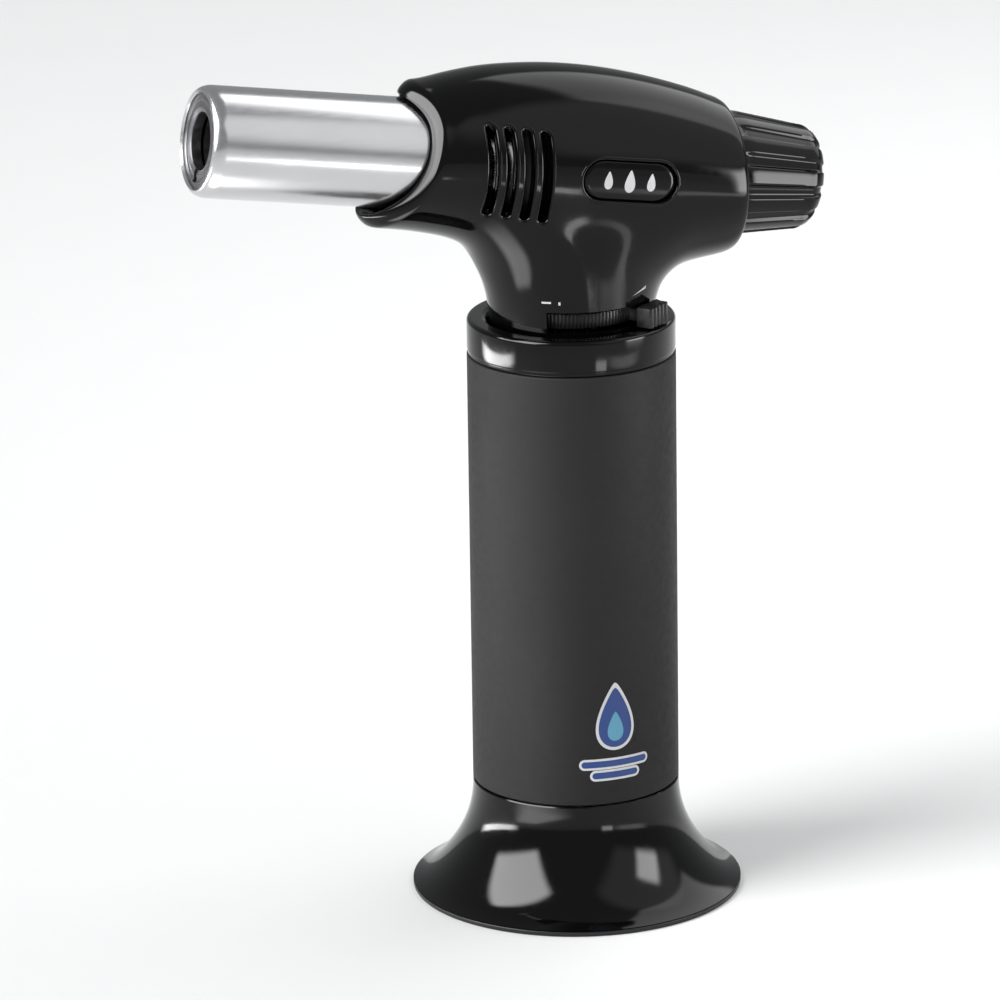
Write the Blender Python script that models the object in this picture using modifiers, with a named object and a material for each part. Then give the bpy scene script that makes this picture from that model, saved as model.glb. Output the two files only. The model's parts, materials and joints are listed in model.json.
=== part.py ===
"""Hand-held butane torch that stands on a flared foot, modelled piece by piece.

Sizes are millimetres and angles are degrees; MM turns them into metres when a mesh is made.
The body stands along Z. The head lies on its own axis, which crosses the body's axis at
HEAD_HEIGHT and rises towards the nozzle. Head pieces hang on an empty whose Z runs to the
nozzle and whose X points up, so a turned head piece is turned about that Z.
"""

import math

import bmesh
import bpy
from mathutils import Matrix, Vector

MM = 0.001

# Where the body's axis stands, so that the whole torch is centred on the origin.
BODY_X = 12.01
HEAD_HEIGHT = 138.2
HEAD_PITCH = 9.1

# Foot, sleeve and collar.
FOOT_RADIUS = 30.65
FOOT_THICKNESS = 0.9
FLARE_BOTTOM = 1.1
FLARE_TOP = 21.0
FLARE_SLOPE = 10.0
FLARE_LIP = 1.5
SLEEVE_RADIUS = 19.15
SLEEVE_WALL = 1.25
SLEEVE_BOTTOM = 21.3
SLEEVE_TOP = 103.0
COLLAR_RADIUS = 19.1
COLLAR_BOTTOM = 103.3
COLLAR_TOP = 109.8
COLLAR_BORE = 15.35
COLLAR_SKIRT_BOTTOM = 100.8

# Head shells: the wall, and the neck that stands in the collar.
SHELL_WALL = 1.6
SEAM_GAP = 0.3
NECK_BOTTOM = 103.7
RIM_RADIUS = 13.3
LIP_RADIUS = 12.0
REAR_PLANE = 30.0
REAR_OPENING = 12.1

# Flame tube and burner, along the head's axis from the crossing point.
TUBE_RADIUS = 10.1
TUBE_WALL = 0.6
TUBE_FRONT = 71.6
TUBE_REAR = 15.0
BORE_RADIUS = 5.2

# Ignition button.
KNOB_FRONT = -27.0
KNOB_REAR = -47.6
KNOB_FRONT_RADIUS = 11.4
KNOB_REAR_RADIUS = 9.5
FLUTES = 12

# Fuel tank.
TANK_RADIUS = 17.6
TANK_WALL = 1.2
TANK_BOTTOM = 12.0
TANK_TOP = 96.8

# Flame lever, turned about the body's axis.
LEVER_ANGLE = -51.5
LEVER_TRAVEL = 67.5
LEVER_BOTTOM = 110.9
LEVER_TOP = 113.1
TAB_RADIUS = 18.9

# Screws that hold the two shells together: (along the head's axis, up from it, boss's reach).
SCREW_PLACES = ((8.0, 11.0, 9.3), (-16.0, 10.4, 8.8), (-11.35, -17.1, 11.0))
BOSS_RADIUS = 2.9

# Vents: the top and bottom middles of the foremost slot, and the step to the next.
VENT_TOP = (21.2, 8.0)
VENT_BOTTOM = (19.7, -7.2)
VENT_STEP = -3.55
VENT_COUNT = 4
VENT_WIDTH = 2.3

LOOKS = {
    "gloss_black": ((0.010, 0.010, 0.011), 0.10, 0.0),
    "soft_grey": ((0.075, 0.074, 0.076), 0.75, 0.0),
    "satin_black": ((0.025, 0.025, 0.027), 0.40, 0.0),
    "chrome": ((0.72, 0.72, 0.73), 0.16, 1.0),
    "dark_metal": ((0.16, 0.16, 0.165), 0.40, 1.0),
    "steel": ((0.55, 0.55, 0.56), 0.30, 1.0),
    "brass": ((0.66, 0.48, 0.20), 0.30, 1.0),
    "ceramic": ((0.85, 0.84, 0.80), 0.45, 0.0),
    "rubber": ((0.02, 0.02, 0.02), 0.70, 0.0),
    "tank_plastic": ((0.55, 0.57, 0.60), 0.35, 0.0),
    "wick": ((0.78, 0.76, 0.70), 0.90, 0.0),
    "cable_red": ((0.45, 0.05, 0.04), 0.50, 0.0),
}


# ---------------------------------------------------------------- scene and materials


def clear_scene():
    """Takes out every object, so that the scene holds only the torch."""
    for thing in list(bpy.data.objects):
        bpy.data.objects.remove(thing)


def new_collection(name):
    collection = bpy.data.collections.new(name)
    bpy.context.scene.collection.children.link(collection)
    return collection


def finish_of(name, look):
    """The piece's own Principled material."""
    colour, roughness, metallic = LOOKS[look]
    material = bpy.data.materials.new(f"{name}_finish")
    material.use_nodes = True
    shader = material.node_tree.nodes["Principled BSDF"]
    shader.inputs["Base Color"].default_value = (*colour, 1.0)
    shader.inputs["Roughness"].default_value = roughness
    shader.inputs["Metallic"].default_value = metallic
    return material


def new_empty(name, parent=None, place=(0.0, 0.0, 0.0), tilt=0.0):
    """An empty at a place in millimetres, tilted about Y by an angle in degrees."""
    empty = bpy.data.objects.new(name, None)
    empty.location = Vector(place) * MM
    empty.rotation_euler = (0.0, math.radians(tilt), 0.0)
    empty.parent = parent
    PARTS.objects.link(empty)
    return empty


def new_piece(name, data, look, parent):
    """A visible piece of the torch in its own object."""
    piece = bpy.data.objects.new(name, data)
    piece.parent = parent
    data.materials.append(finish_of(name, look))
    PARTS.objects.link(piece)
    return piece


def new_cutter(name, mesh, parent):
    """A helper solid for Booleans, which isn't a piece of the torch."""
    cutter = bpy.data.objects.new(name, mesh)
    cutter.parent = parent
    cutter.hide_render = True
    cutter.display_type = "WIRE"
    CUTTERS.objects.link(cutter)
    return cutter


# ---------------------------------------------------------------- shapes


def rounded(corners, steps=3):
    """The corners as 2D points; a corner given as (r, z, radius) becomes an arc."""
    path = []
    for index, corner in enumerate(corners):
        here = Vector(corner[:2])
        if len(corner) == 2:
            path.append(here)
            continue
        back = (Vector(corners[index - 1][:2]) - here).normalized()
        ahead = (Vector(corners[(index + 1) % len(corners)][:2]) - here).normalized()
        half = back.angle(ahead) / 2
        radius = corner[2]
        centre = here + (back + ahead).normalized() * (radius / math.sin(half))
        start = here + back * (radius / math.tan(half)) - centre
        end = here + ahead * (radius / math.tan(half)) - centre
        first = math.atan2(start.y, start.x)
        sweep = math.remainder(math.atan2(end.y, end.x) - first, math.tau)
        for step in range(steps + 1):
            angle = first + sweep * step / steps
            path.append(centre + Vector((math.cos(angle), math.sin(angle))) * radius)
    return path


def turned_mesh(name, corners, ring):
    """A profile of edges in the XZ plane. A ring's profile closes; a solid's meets the axis."""
    path = rounded(corners)
    edges = [(index, index + 1) for index in range(len(path) - 1)]
    if ring:
        edges.append((len(path) - 1, 0))
    mesh = bpy.data.meshes.new(name)
    mesh.from_pydata([(point.x * MM, 0.0, point.y * MM) for point in path], edges, [])
    return mesh


def add_turn(thing, steps):
    screw = thing.modifiers.new("turn", "SCREW")
    screw.steps = steps
    screw.render_steps = steps
    screw.use_smooth_shade = True
    screw.use_merge_vertices = True
    screw.merge_threshold = 0.00001


def turned(name, corners, look, parent, steps=32, ring=True):
    """A turned piece. The profile's outer side runs from top to bottom."""
    piece = new_piece(name, turned_mesh(name, corners, ring), look, parent)
    add_turn(piece, steps)
    return piece


def turned_cutter(name, corners, parent, steps=24, ring=False):
    cutter = new_cutter(name, turned_mesh(name, corners, ring), parent)
    add_turn(cutter, steps)
    return cutter


def mesh_from(name, shape, closed=True):
    """Turns a bmesh drawn in millimetres into a mesh in metres."""
    if closed:
        bmesh.ops.recalc_face_normals(shape, faces=shape.faces[:])
    bmesh.ops.scale(shape, vec=(MM, MM, MM), verts=shape.verts[:])
    mesh = bpy.data.meshes.new(name)
    shape.to_mesh(mesh)
    shape.free()
    return mesh


def add_box(shape, low, high, turn=None):
    """Adds a box from its lowest to its highest corner, then turns it by a matrix."""
    low, high = Vector(low), Vector(high)
    made = bmesh.ops.create_cube(shape, size=1.0)["verts"]
    bmesh.ops.scale(shape, vec=high - low, verts=made)
    bmesh.ops.translate(shape, vec=(low + high) / 2, verts=made)
    if turn is not None:
        bmesh.ops.transform(shape, matrix=turn, verts=made)


def add_rod(shape, start, end, radius, sides=16, end_radius=None):
    """Adds a round rod between two points."""
    start, end = Vector(start), Vector(end)
    along = end - start
    turn = along.to_track_quat("Z", "Y").to_matrix().to_4x4()
    place = Matrix.Translation((start + end) / 2) @ turn
    bmesh.ops.create_cone(
        shape,
        cap_ends=True,
        segments=sides,
        radius1=radius,
        radius2=radius if end_radius is None else end_radius,
        depth=along.length,
        matrix=place,
    )


def add_prism(shape, outline, low, high, turn=None):
    """Adds a flat outline in XY, drawn out from low to high along Z."""
    base = [shape.verts.new((x, y, low)) for x, y in outline]
    face = shape.faces.new(base)
    lifted = bmesh.ops.extrude_face_region(shape, geom=[face])["geom"]
    top = [item for item in lifted if isinstance(item, bmesh.types.BMVert)]
    bmesh.ops.translate(shape, vec=(0.0, 0.0, high - low), verts=top)
    if turn is not None:
        bmesh.ops.transform(shape, matrix=turn, verts=base + top)


def stadium(length, width, steps=5):
    """The outline of a slot with round ends, along X."""
    reach = (length - width) / 2
    outline = []
    for side in (1, -1):
        for step in range(steps + 1):
            angle = math.radians(-90 + 180 * step / steps)
            outline.append(
                (side * (reach + width / 2 * math.cos(angle)), side * width / 2 * math.sin(angle))
            )
    return outline


def boolean(piece, other, operation="DIFFERENCE", solver="EXACT"):
    modifier = piece.modifiers.new(f"{operation.lower()}_{other.name}", "BOOLEAN")
    modifier.operation = operation
    modifier.object = other
    modifier.solver = solver


def bevelled(piece, width, segments=2):
    bevel = piece.modifiers.new("soft_edges", "BEVEL")
    bevel.width = width * MM
    bevel.segments = segments
    bevel.limit_method = "ANGLE"
    bevel.angle_limit = math.radians(40)


def smooth_path(points, per_span=4):
    """Points along a smooth curve through the given ones."""
    points = [Vector(point) for point in points]
    ends = [2 * points[0] - points[1], *points, 2 * points[-1] - points[-2]]
    path = []
    for index in range(len(points) - 1):
        a, b, c, d = ends[index : index + 4]
        for step in range(per_span):
            t = step / per_span
            path.append(
                0.5
                * (2 * b + (c - a) * t + (2 * a - 5 * b + 4 * c - d) * t**2)
                + 0.5 * (3 * b - a - 3 * c + d) * t**3
            )
    return [*path, points[-1]]


def coil_path(radius, low, high, turns, per_turn=9):
    """A helix about Z, with its ends closed flat."""
    count = int(turns * per_turn)
    path = []
    for step in range(count + 1):
        angle = math.tau * step / per_turn
        rise = min(max((step / count - 0.12) / 0.76, 0.0), 1.0)
        path.append((radius * math.cos(angle), radius * math.sin(angle), low + (high - low) * rise))
    return path


def wire(name, path, radius, look, parent):
    """A round wire or hose with closed ends."""
    curve = bpy.data.curves.new(name, "CURVE")
    curve.dimensions = "3D"
    curve.bevel_depth = radius * MM
    curve.bevel_resolution = 1
    curve.use_fill_caps = True
    spline = curve.splines.new("POLY")
    spline.points.add(len(path) - 1)
    for knot, point in zip(spline.points, path):
        knot.co = (*(Vector(point) * MM), 1.0)
    return new_piece(name, curve, look, parent)


# ---------------------------------------------------------------- foot, sleeve and collar


def flare_radius(height):
    """Outer radius of the foot: a slow curve that turns out sharply at the rim."""
    reach = (FLARE_TOP - height) / (FLARE_TOP - FLARE_BOTTOM)
    return SLEEVE_RADIUS + FLARE_SLOPE * reach**2.2 + FLARE_LIP * reach**20


def make_foot():
    heights = (18.0, 15.0, 12.0, 9.5, 7.2, 5.2, 3.6, 2.5, 1.7)
    wall = 2.0
    outer = [(flare_radius(height), height) for height in heights]
    inner = [(flare_radius(height) - wall, height - 0.5) for height in heights[:2:-1]]
    bore = SLEEVE_RADIUS - SLEEVE_WALL + 0.1
    profile = [
        (bore, FLARE_TOP),
        (SLEEVE_RADIUS, FLARE_TOP),
        *outer,
        (flare_radius(FLARE_BOTTOM), FLARE_BOTTOM),
        (flare_radius(FLARE_BOTTOM) - wall, FLARE_BOTTOM),
        *inner[1:],
        (bore, 12.8),
    ]
    turned("base_stand", profile, "gloss_black", TORCH, steps=32)
    ring_width = 2.6
    profile = [
        (FOOT_RADIUS - ring_width, FOOT_THICKNESS),
        (FOOT_RADIUS, FOOT_THICKNESS),
        (FOOT_RADIUS, 0.0),
        (FOOT_RADIUS - ring_width, 0.0),
    ]
    turned("foot_ring", profile, "satin_black", TORCH, steps=32)
    profile = [(13.5, 11.7), (18.6, 11.7), (18.6, 10.3), (13.5, 10.3)]
    turned("tank_retainer", profile, "satin_black", TORCH, steps=32)


def make_sleeve_and_collar():
    bore = SLEEVE_RADIUS - SLEEVE_WALL
    profile = [
        (bore, SLEEVE_TOP),
        (SLEEVE_RADIUS, SLEEVE_TOP, 0.3),
        (SLEEVE_RADIUS, SLEEVE_BOTTOM, 0.3),
        (bore, SLEEVE_BOTTOM),
    ]
    turned("grip_sleeve", profile, "soft_grey", TORCH, steps=32)
    profile = [
        (COLLAR_BORE, COLLAR_TOP),
        (COLLAR_RADIUS, COLLAR_TOP, 1.4),
        (COLLAR_RADIUS, COLLAR_BOTTOM),
        (17.5, COLLAR_BOTTOM),
        (17.5, COLLAR_SKIRT_BOTTOM),
        (COLLAR_BORE, COLLAR_SKIRT_BOTTOM),
    ]
    turned("collar_ring", profile, "gloss_black", TORCH, steps=32)


# ---------------------------------------------------------------- head shells


RING_POINTS = 16
NECK_FIRST, NECK_LAST = 5, 11
# Cross-sections behind the rim: (along the axis, half width, top, bottom).
SECTIONS = (
    (26.0, 13.8, 15.0, 14.2),
    (22.0, 14.2, 16.3, 14.9),
    (18.0, 14.7, 17.0, 16.4),
    (11.5, 15.1, 17.8, 17.4),
    (5.0, 15.4, 18.1, 18.0),
    (-1.5, 15.5, 18.0, 18.0),
    (-8.0, 15.4, 17.5, 18.0),
    (-15.0, 15.1, 16.7, 18.0),
    (-22.0, 14.6, 15.1, 17.6),
    (-25.0, 14.3, 14.3, 15.6),
)
NECK_SECTION_FIRST, NECK_SECTION_LAST = 2, 8
# Rings of the neck: height at the front, rear and sides, and radius at each.
NECK_RINGS = (
    (120.5, 115.2, 124.0, 18.2, 17.3, 15.05),
    (116.5, 113.0, 117.5, 16.3, 16.1, 15.0),
    (111.4, 111.2, 111.6, 15.1, 15.3, 15.0),
    (108.6, 108.6, 108.6, 15.0, 15.0, 15.0),
    (NECK_BOTTOM, NECK_BOTTOM, NECK_BOTTOM, 15.0, 15.0, 15.0),
)


def ring_angle(index):
    return math.tau * index / RING_POINTS


def front_rim(angle):
    """How far forward the head's mouth reaches: least at the sides, most at the lower spout."""
    visor = 3.7 * max(0.0, math.cos(angle)) ** 8
    spout = 8.5 * ((1 - math.cos(angle)) / 2) ** 3.5
    return 29.3 + visor + spout


def rear_rim(up):
    """Where a plane standing upright behind the head meets the height above the head's axis."""
    pitch = math.radians(HEAD_PITCH)
    return (up * math.sin(pitch) - REAR_PLANE) / math.cos(pitch)


def oval(angle, half_width, top, bottom):
    """A point (up, across) of an oval section; the angle starts at the top."""
    height = top if math.cos(angle) > 0 else bottom
    return height * math.cos(angle), -half_width * math.sin(angle)


def head_rings():
    """Rings of points (up, across, along) from the mouth's inner lip to the rear opening."""
    angles = [ring_angle(index) for index in range(RING_POINTS)]
    rings = [[] for _ in range(3)]
    for angle in angles:
        rim = front_rim(angle)
        lean = ((1 - math.cos(angle)) / 2) ** 6
        rings[0].append((*oval(angle, LIP_RADIUS, LIP_RADIUS, LIP_RADIUS), rim + 0.9 + lean))
        rings[1].append((*oval(angle, RIM_RADIUS, 13.1, 13.4), rim))
        rings[2].append((*oval(angle, 13.6, 14.2, 13.8), (rim + SECTIONS[0][0]) / 2))
    for along, half_width, top, bottom in SECTIONS:
        rings.append([(*oval(angle, half_width, top, bottom), along) for angle in angles])
    throat, rim_ring, lip = [], [], []
    for angle in angles:
        up, across = oval(angle, 13.7, 13.4, 14.1)
        rear = rear_rim(up)
        up_in, across_in = oval(angle, 14.1, 14.0, 14.9)
        throat.append((up_in, across_in, (rear + SECTIONS[-1][0]) / 2))
        rim_ring.append((up, across, rear))
        lip.append((*oval(angle, REAR_OPENING, REAR_OPENING, REAR_OPENING), rear - 0.2))
    return [*rings, throat, rim_ring, lip]


def neck_ring(ring, turns):
    """A ring of the neck as head-frame points, at the given turns from the front."""
    front, rear, side, front_radius, rear_radius, side_radius = ring
    middle = ((front + rear) / 2 + side) / 2
    lean = (front - rear) / 2
    dip = (front + rear) / 2 - middle
    pitch = math.radians(HEAD_PITCH)
    points = []
    for turn in turns:
        height = middle + lean * math.cos(turn) + dip * math.cos(2 * turn) - HEAD_HEIGHT
        radius = front_radius if math.cos(turn) > 0 else rear_radius
        x = -radius * math.cos(turn)
        y = -side_radius * math.sin(turn)
        up = x * math.sin(pitch) + height * math.cos(pitch)
        along = -x * math.cos(pitch) + height * math.sin(pitch)
        points.append((up, y, along))
    return points


def neck_border():
    """(section, ring point) round the opening that the neck grows from, starting at the front."""
    first, last = NECK_SECTION_FIRST, NECK_SECTION_LAST
    middle = RING_POINTS // 2
    border = [(first, point) for point in range(middle, NECK_FIRST, -1)]
    border += [(section, NECK_FIRST) for section in range(first, last)]
    border += [(last, point) for point in range(NECK_FIRST, NECK_LAST)]
    border += [(section, NECK_LAST) for section in range(last, first, -1)]
    border += [(first, point) for point in range(NECK_LAST, middle, -1)]
    return border


def head_cage():
    """The head's outer surface as a coarse open cage: an oval barrel with a neck below it."""
    shape = bmesh.new()
    rings = [[shape.verts.new(point) for point in ring] for ring in head_rings()]
    skipped = 3
    for index, (ahead, behind) in enumerate(zip(rings, rings[1:])):
        section = index - skipped
        over_neck = NECK_SECTION_FIRST <= section < NECK_SECTION_LAST
        for point in range(RING_POINTS):
            if over_neck and NECK_FIRST <= point < NECK_LAST:
                continue
            after = (point + 1) % RING_POINTS
            shape.faces.new((ahead[after], behind[after], behind[point], ahead[point]))
    border = [rings[section + skipped][point] for section, point in neck_border()]
    turns = [math.tau * index / len(border) for index in range(len(border))]
    for ring in NECK_RINGS:
        below = [shape.verts.new(point) for point in neck_ring(ring, turns)]
        for index in range(len(border)):
            after = (index + 1) % len(border)
            shape.faces.new((below[index], below[after], border[after], border[index]))
        border = below
    bmesh.ops.delete(shape, geom=[v for v in shape.verts if not v.link_faces], context="VERTS")
    return mesh_from("head_cage", shape, closed=False)


def along_axis(along, up, across=0.0):
    """A head-frame point from its place along the axis and above it."""
    return (up, across, along)


def vent_cutter():
    shape = bmesh.new()
    drop = Vector(VENT_TOP) - Vector(VENT_BOTTOM)
    lean = math.atan2(drop.x, drop.y)
    outline = stadium(drop.length + VENT_WIDTH / 2, VENT_WIDTH, steps=4)
    for index in range(VENT_COUNT):
        middle = (Vector(VENT_TOP) + Vector(VENT_BOTTOM)) / 2 + Vector((VENT_STEP * index, 0.0))
        place = Matrix.Translation(along_axis(middle.x, middle.y))
        turn = place @ Matrix.Rotation(-lean, 4, "Y") @ Matrix.Rotation(math.pi / 2, 4, "X")
        add_prism(shape, outline, -22.0, 22.0, turn)
    return new_cutter("vent_cutter", mesh_from("vent_cutter", shape), HEAD)


def badge_pockets():
    """Two shallow pockets, one in each side of the head."""
    shape = bmesh.new()
    for side in (-1, 1):
        turn = badge_place(side)
        add_prism(shape, stadium(19.0, 8.0), -0.5, 3.0, turn)
    return new_cutter("badge_pockets", mesh_from("badge_pockets", shape), HEAD)


def badge_place(side):
    """A frame on the head's side, with X along the head and Z pointing out of it."""
    middle = Matrix.Translation(along_axis(-6.0, 0.4, side * 14.9))
    face_out = Matrix.Rotation(-side * math.pi / 2, 4, "X")
    return middle @ face_out @ Matrix.Rotation(math.pi / 2, 4, "Z")


def lever_window():
    """A band cut through the neck's front, which the flame lever sweeps."""
    steps = 14
    start, end = LEVER_ANGLE + 8.5, LEVER_ANGLE - LEVER_TRAVEL - 9.0
    outline = []
    for radius, order in ((12.0, range(steps + 1)), (17.0, range(steps, -1, -1))):
        for step in order:
            angle = math.radians(start + (end - start) * step / steps)
            outline.append((radius * math.cos(angle), radius * math.sin(angle)))
    shape = bmesh.new()
    add_prism(shape, outline, LEVER_BOTTOM - 0.6, LEVER_TOP + 0.9)
    return new_cutter("lever_window", mesh_from("lever_window", shape), TORCH)


def screw_bosses():
    shape = bmesh.new()
    for along, up, reach in SCREW_PLACES:
        start, end = along_axis(along, up, -reach), along_axis(along, up, reach)
        add_rod(shape, start, end, BOSS_RADIUS, sides=12)
    return new_cutter("screw_bosses", mesh_from("screw_bosses", shape), HEAD)


def screw_holes(name, start, end, radius):
    """Round holes at the screws, from one distance across the seam to another."""
    shape = bmesh.new()
    for along, up, _ in SCREW_PLACES:
        add_rod(shape, along_axis(along, up, start), along_axis(along, up, end), radius, sides=12)
    return new_cutter(name, mesh_from(name, shape), HEAD)


def head_half(name, side, tools, cage):
    """One half of the head, on the side of the seam that the sign gives."""
    shell = new_piece(name, cage.copy(), "gloss_black", HEAD)
    wall = shell.modifiers.new("wall", "SOLIDIFY")
    wall.thickness = SHELL_WALL * MM
    wall.offset = -1.0
    for tool, operation in tools:
        boolean(shell, tool, operation, "MANIFOLD")
    shape = bmesh.new()
    near, far = side * SEAM_GAP / 2, -side * 40.0
    add_box(shape, (-60.0, min(near, far), -60.0), (60.0, max(near, far), 60.0))
    other = new_cutter(f"{name}_other_side", mesh_from(f"{name}_other_side", shape), HEAD)
    boolean(shell, other, solver="MANIFOLD")
    return shell


def make_head_shells():
    cage = head_cage()
    tools = [
        (screw_bosses(), "UNION"),
        (vent_cutter(), "DIFFERENCE"),
        (lever_window(), "DIFFERENCE"),
        (badge_pockets(), "DIFFERENCE"),
        (screw_holes("screw_pilots", -5.5, 7.0, 1.3), "DIFFERENCE"),
        (screw_holes("screw_counterbores", 6.0, 22.0, 2.2), "DIFFERENCE"),
    ]
    head_half("head_shell_near", -1, tools, cage)
    head_half("head_shell_far", 1, tools, cage)
    for name, side in (("badge_plate_near", -1), ("badge_plate_far", 1)):
        shape = bmesh.new()
        add_prism(shape, stadium(18.4, 7.4), -0.2, 0.3, badge_place(side))
        new_piece(name, mesh_from(name, shape), "satin_black", HEAD)
    for index, (along, up, _) in enumerate(SCREW_PLACES, start=1):
        make_screw(f"head_screw_{index}", along, up)


def make_screw(name, along, up):
    """A socket-head screw along the head's Y, its head in the far shell's hole."""
    profile = [(0.0, 8.0), (1.0, 7.9), (1.9, 7.4), (1.9, 6.3), (1.0, 6.3), (1.0, -4.4), (0.0, -5.0)]
    screw = turned(name, profile, "steel", HEAD, steps=12, ring=False)
    screw.location = Vector(along_axis(along, up)) * MM
    screw.rotation_euler = (-math.pi / 2, 0.0, 0.0)
    shape = bmesh.new()
    add_rod(shape, (0.0, 0.0, 7.2), (0.0, 0.0, 9.0), 1.0, sides=6)
    socket = new_cutter(f"{name}_socket", mesh_from(f"{name}_socket", shape), HEAD)
    socket.location = screw.location
    socket.rotation_euler = screw.rotation_euler
    boolean(screw, socket)


# ---------------------------------------------------------------- burner


def make_burner():
    inner = TUBE_RADIUS - TUBE_WALL
    profile = [
        (8.95, TUBE_FRONT),
        (TUBE_RADIUS, TUBE_FRONT, 0.9),
        (TUBE_RADIUS, TUBE_REAR),
        (inner, TUBE_REAR),
        (inner, TUBE_FRONT - 0.9),
        (8.95, TUBE_FRONT - 0.9),
    ]
    turned("flame_tube", profile, "chrome", HEAD, steps=32)
    profile = [
        (BORE_RADIUS, TUBE_FRONT - 1.2),
        (8.8, TUBE_FRONT - 1.2),
        (8.8, 68.6),
        (BORE_RADIUS, 68.6),
    ]
    nozzle = turned("nozzle_ring", profile, "dark_metal", HEAD, steps=28)
    shape = bmesh.new()
    add_box(shape, (-7.6, -0.9, 66.0), (-4.5, 0.9, 73.0))
    boolean(nozzle, new_cutter("spark_notch", mesh_from("spark_notch", shape), HEAD))
    turned("burner_tube", [(5.3, 68.3), (6.0, 68.3), (6.0, 41.0), (5.3, 41.0)], "dark_metal", HEAD, 24)
    turned("burner_bush", [(3.7, 44.5), (5.0, 44.5), (5.0, 41.5), (3.7, 41.5)], "brass", HEAD, 20)
    profile = [
        (2.6, 50.0),
        (3.4, 50.0),
        (3.4, 24.0),
        (4.2, 17.6),
        (3.4, 17.6),
        (2.6, 24.0),
    ]
    turned("mixing_tube", profile, "brass", HEAD, 20)
    profile = [(1.2, 60.0), (5.0, 60.0), (5.0, 57.8), (1.2, 57.8)]
    holder = turned("flame_holder", profile, "brass", HEAD, 18)
    shape = bmesh.new()
    for index in range(6):
        angle = math.tau * index / 6
        up, across = 3.2 * math.cos(angle), 3.2 * math.sin(angle)
        add_rod(shape, (up, across, 56.0), (up, across, 62.0), 0.7, sides=8)
    boolean(holder, new_cutter("flame_holes", mesh_from("flame_holes", shape), HEAD))
    profile = [(3.9, 33.0), (9.2, 33.0), (9.2, 31.0), (3.9, 31.0)]
    mount = turned("burner_mount", profile, "steel", HEAD, 24)
    shape = bmesh.new()
    add_rod(shape, (-7.5, 0.0, 29.0), (-7.5, 0.0, 35.0), 1.35, sides=12)
    boolean(mount, new_cutter("electrode_hole", mesh_from("electrode_hole", shape), HEAD))
    turned("tube_clamp", [(10.4, 25.0), (12.0, 25.0), (12.0, 22.8), (10.4, 22.8)], "steel", HEAD, 28)
    profile = [
        (0.0, 15.8),
        (1.6, 15.8),
        (1.6, 13.0),
        (3.0, 12.4),
        (3.0, 4.2),
        (0.0, 4.2),
    ]
    turned("jet_holder", profile, "brass", HEAD, 16, ring=False)
    turned("jet_orifice", [(0.3, 18.0), (1.0, 18.0), (1.0, 16.1), (0.3, 16.1)], "brass", HEAD, 12)


def make_spark_parts():
    insulator = turned(
        "electrode_insulator", [(0.6, 60.0), (1.05, 60.0), (1.05, 18.2), (0.6, 18.2)], "ceramic", HEAD, 12
    )
    insulator.location = (-7.5 * MM, 0.0, 0.0)
    route = [(-7.5, 0.0, 18.6), (-7.5, 0.0, 40.0), (-7.5, 0.0, 62.0)]
    route += [(-7.3, 0.0, 65.0), (-6.6, 0.0, 67.6), (-6.0, 0.0, 70.0)]
    wire("electrode_wire", route, 0.4, "steel", HEAD)
    route = smooth_path(
        [(-2.0, -3.0, 0.4), (-3.0, -4.8, 4.0), (-5.5, -5.0, 9.0), (-7.0, -2.6, 14.5), (-7.5, 0.0, 17.9)], 3
    )
    wire("spark_lead", route, 0.65, "cable_red", HEAD)
    shape = bmesh.new()
    add_box(shape, (-4.2, -4.4, -19.0), (4.2, 4.4, 0.0))
    piezo = new_piece("piezo_body", mesh_from("piezo_body", shape), "satin_black", HEAD)
    bore = turned_cutter("piezo_bore", [(0.0, -9.0), (3.1, -9.0), (3.1, -21.0), (0.0, -21.0)], HEAD, 16)
    boolean(piezo, bore)
    profile = [(0.0, -17.0), (2.6, -17.0, 0.5), (2.6, -35.4), (0.0, -35.4)]
    turned("piezo_plunger", profile, "steel", HEAD, 14, ring=False)
    spring = coil_path(4.1, -27.4, -19.5, 4)
    wire("piezo_spring", spring, 0.35, "steel", HEAD)


# ---------------------------------------------------------------- ignition button


def knob_radius(along):
    """Outer radius of the button, tapering to the rear from where it leaves the head."""
    reach = min(max((-31.0 - along) / 14.0, 0.0), 1.0)
    return KNOB_FRONT_RADIUS + (KNOB_REAR_RADIUS - KNOB_FRONT_RADIUS) * reach


def make_button():
    profile = [
        (0.0, KNOB_REAR + 2.4),
        (6.9, KNOB_REAR + 2.4),
        (9.3, KNOB_FRONT),
        (KNOB_FRONT_RADIUS, KNOB_FRONT),
        (KNOB_FRONT_RADIUS, -31.0),
        (knob_radius(-45.0), KNOB_REAR, 2.6),
        (0.0, KNOB_REAR),
    ]
    knob = turned("ignition_knob", profile, "gloss_black", HEAD, steps=36, ring=False)
    shape = bmesh.new()
    for index in range(FLUTES):
        angle = math.tau * (index + 0.5) / FLUTES
        ends = []
        for along in (-31.5, -51.0):
            reach = knob_radius(-31.5) + 0.5 if along > -40.0 else knob_radius(-45.0) - 0.6
            ends.append((reach * math.cos(angle), reach * math.sin(angle), along))
        add_rod(shape, ends[0], ends[1], 1.25, sides=6)
    boolean(knob, new_cutter("knob_flutes", mesh_from("knob_flutes", shape), HEAD))
    profile = [
        (0.0, -36.0),
        (3.0, -36.0),
        (3.0, -28.0),
        (7.0, -28.0),
        (7.0, -29.5),
        (4.6, -29.5),
        (4.6, KNOB_REAR + 2.9),
        (0.0, KNOB_REAR + 2.9),
    ]
    turned("button_core", profile, "satin_black", HEAD, 20, ring=False)
    shape = bmesh.new()
    add_box(shape, (-7.6, -2.0, -27.7), (-5.6, 2.0, -3.7))
    bar = new_piece("push_bar", mesh_from("push_bar", shape), "satin_black", HEAD)
    bevelled(bar, 0.3, 1)


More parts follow.
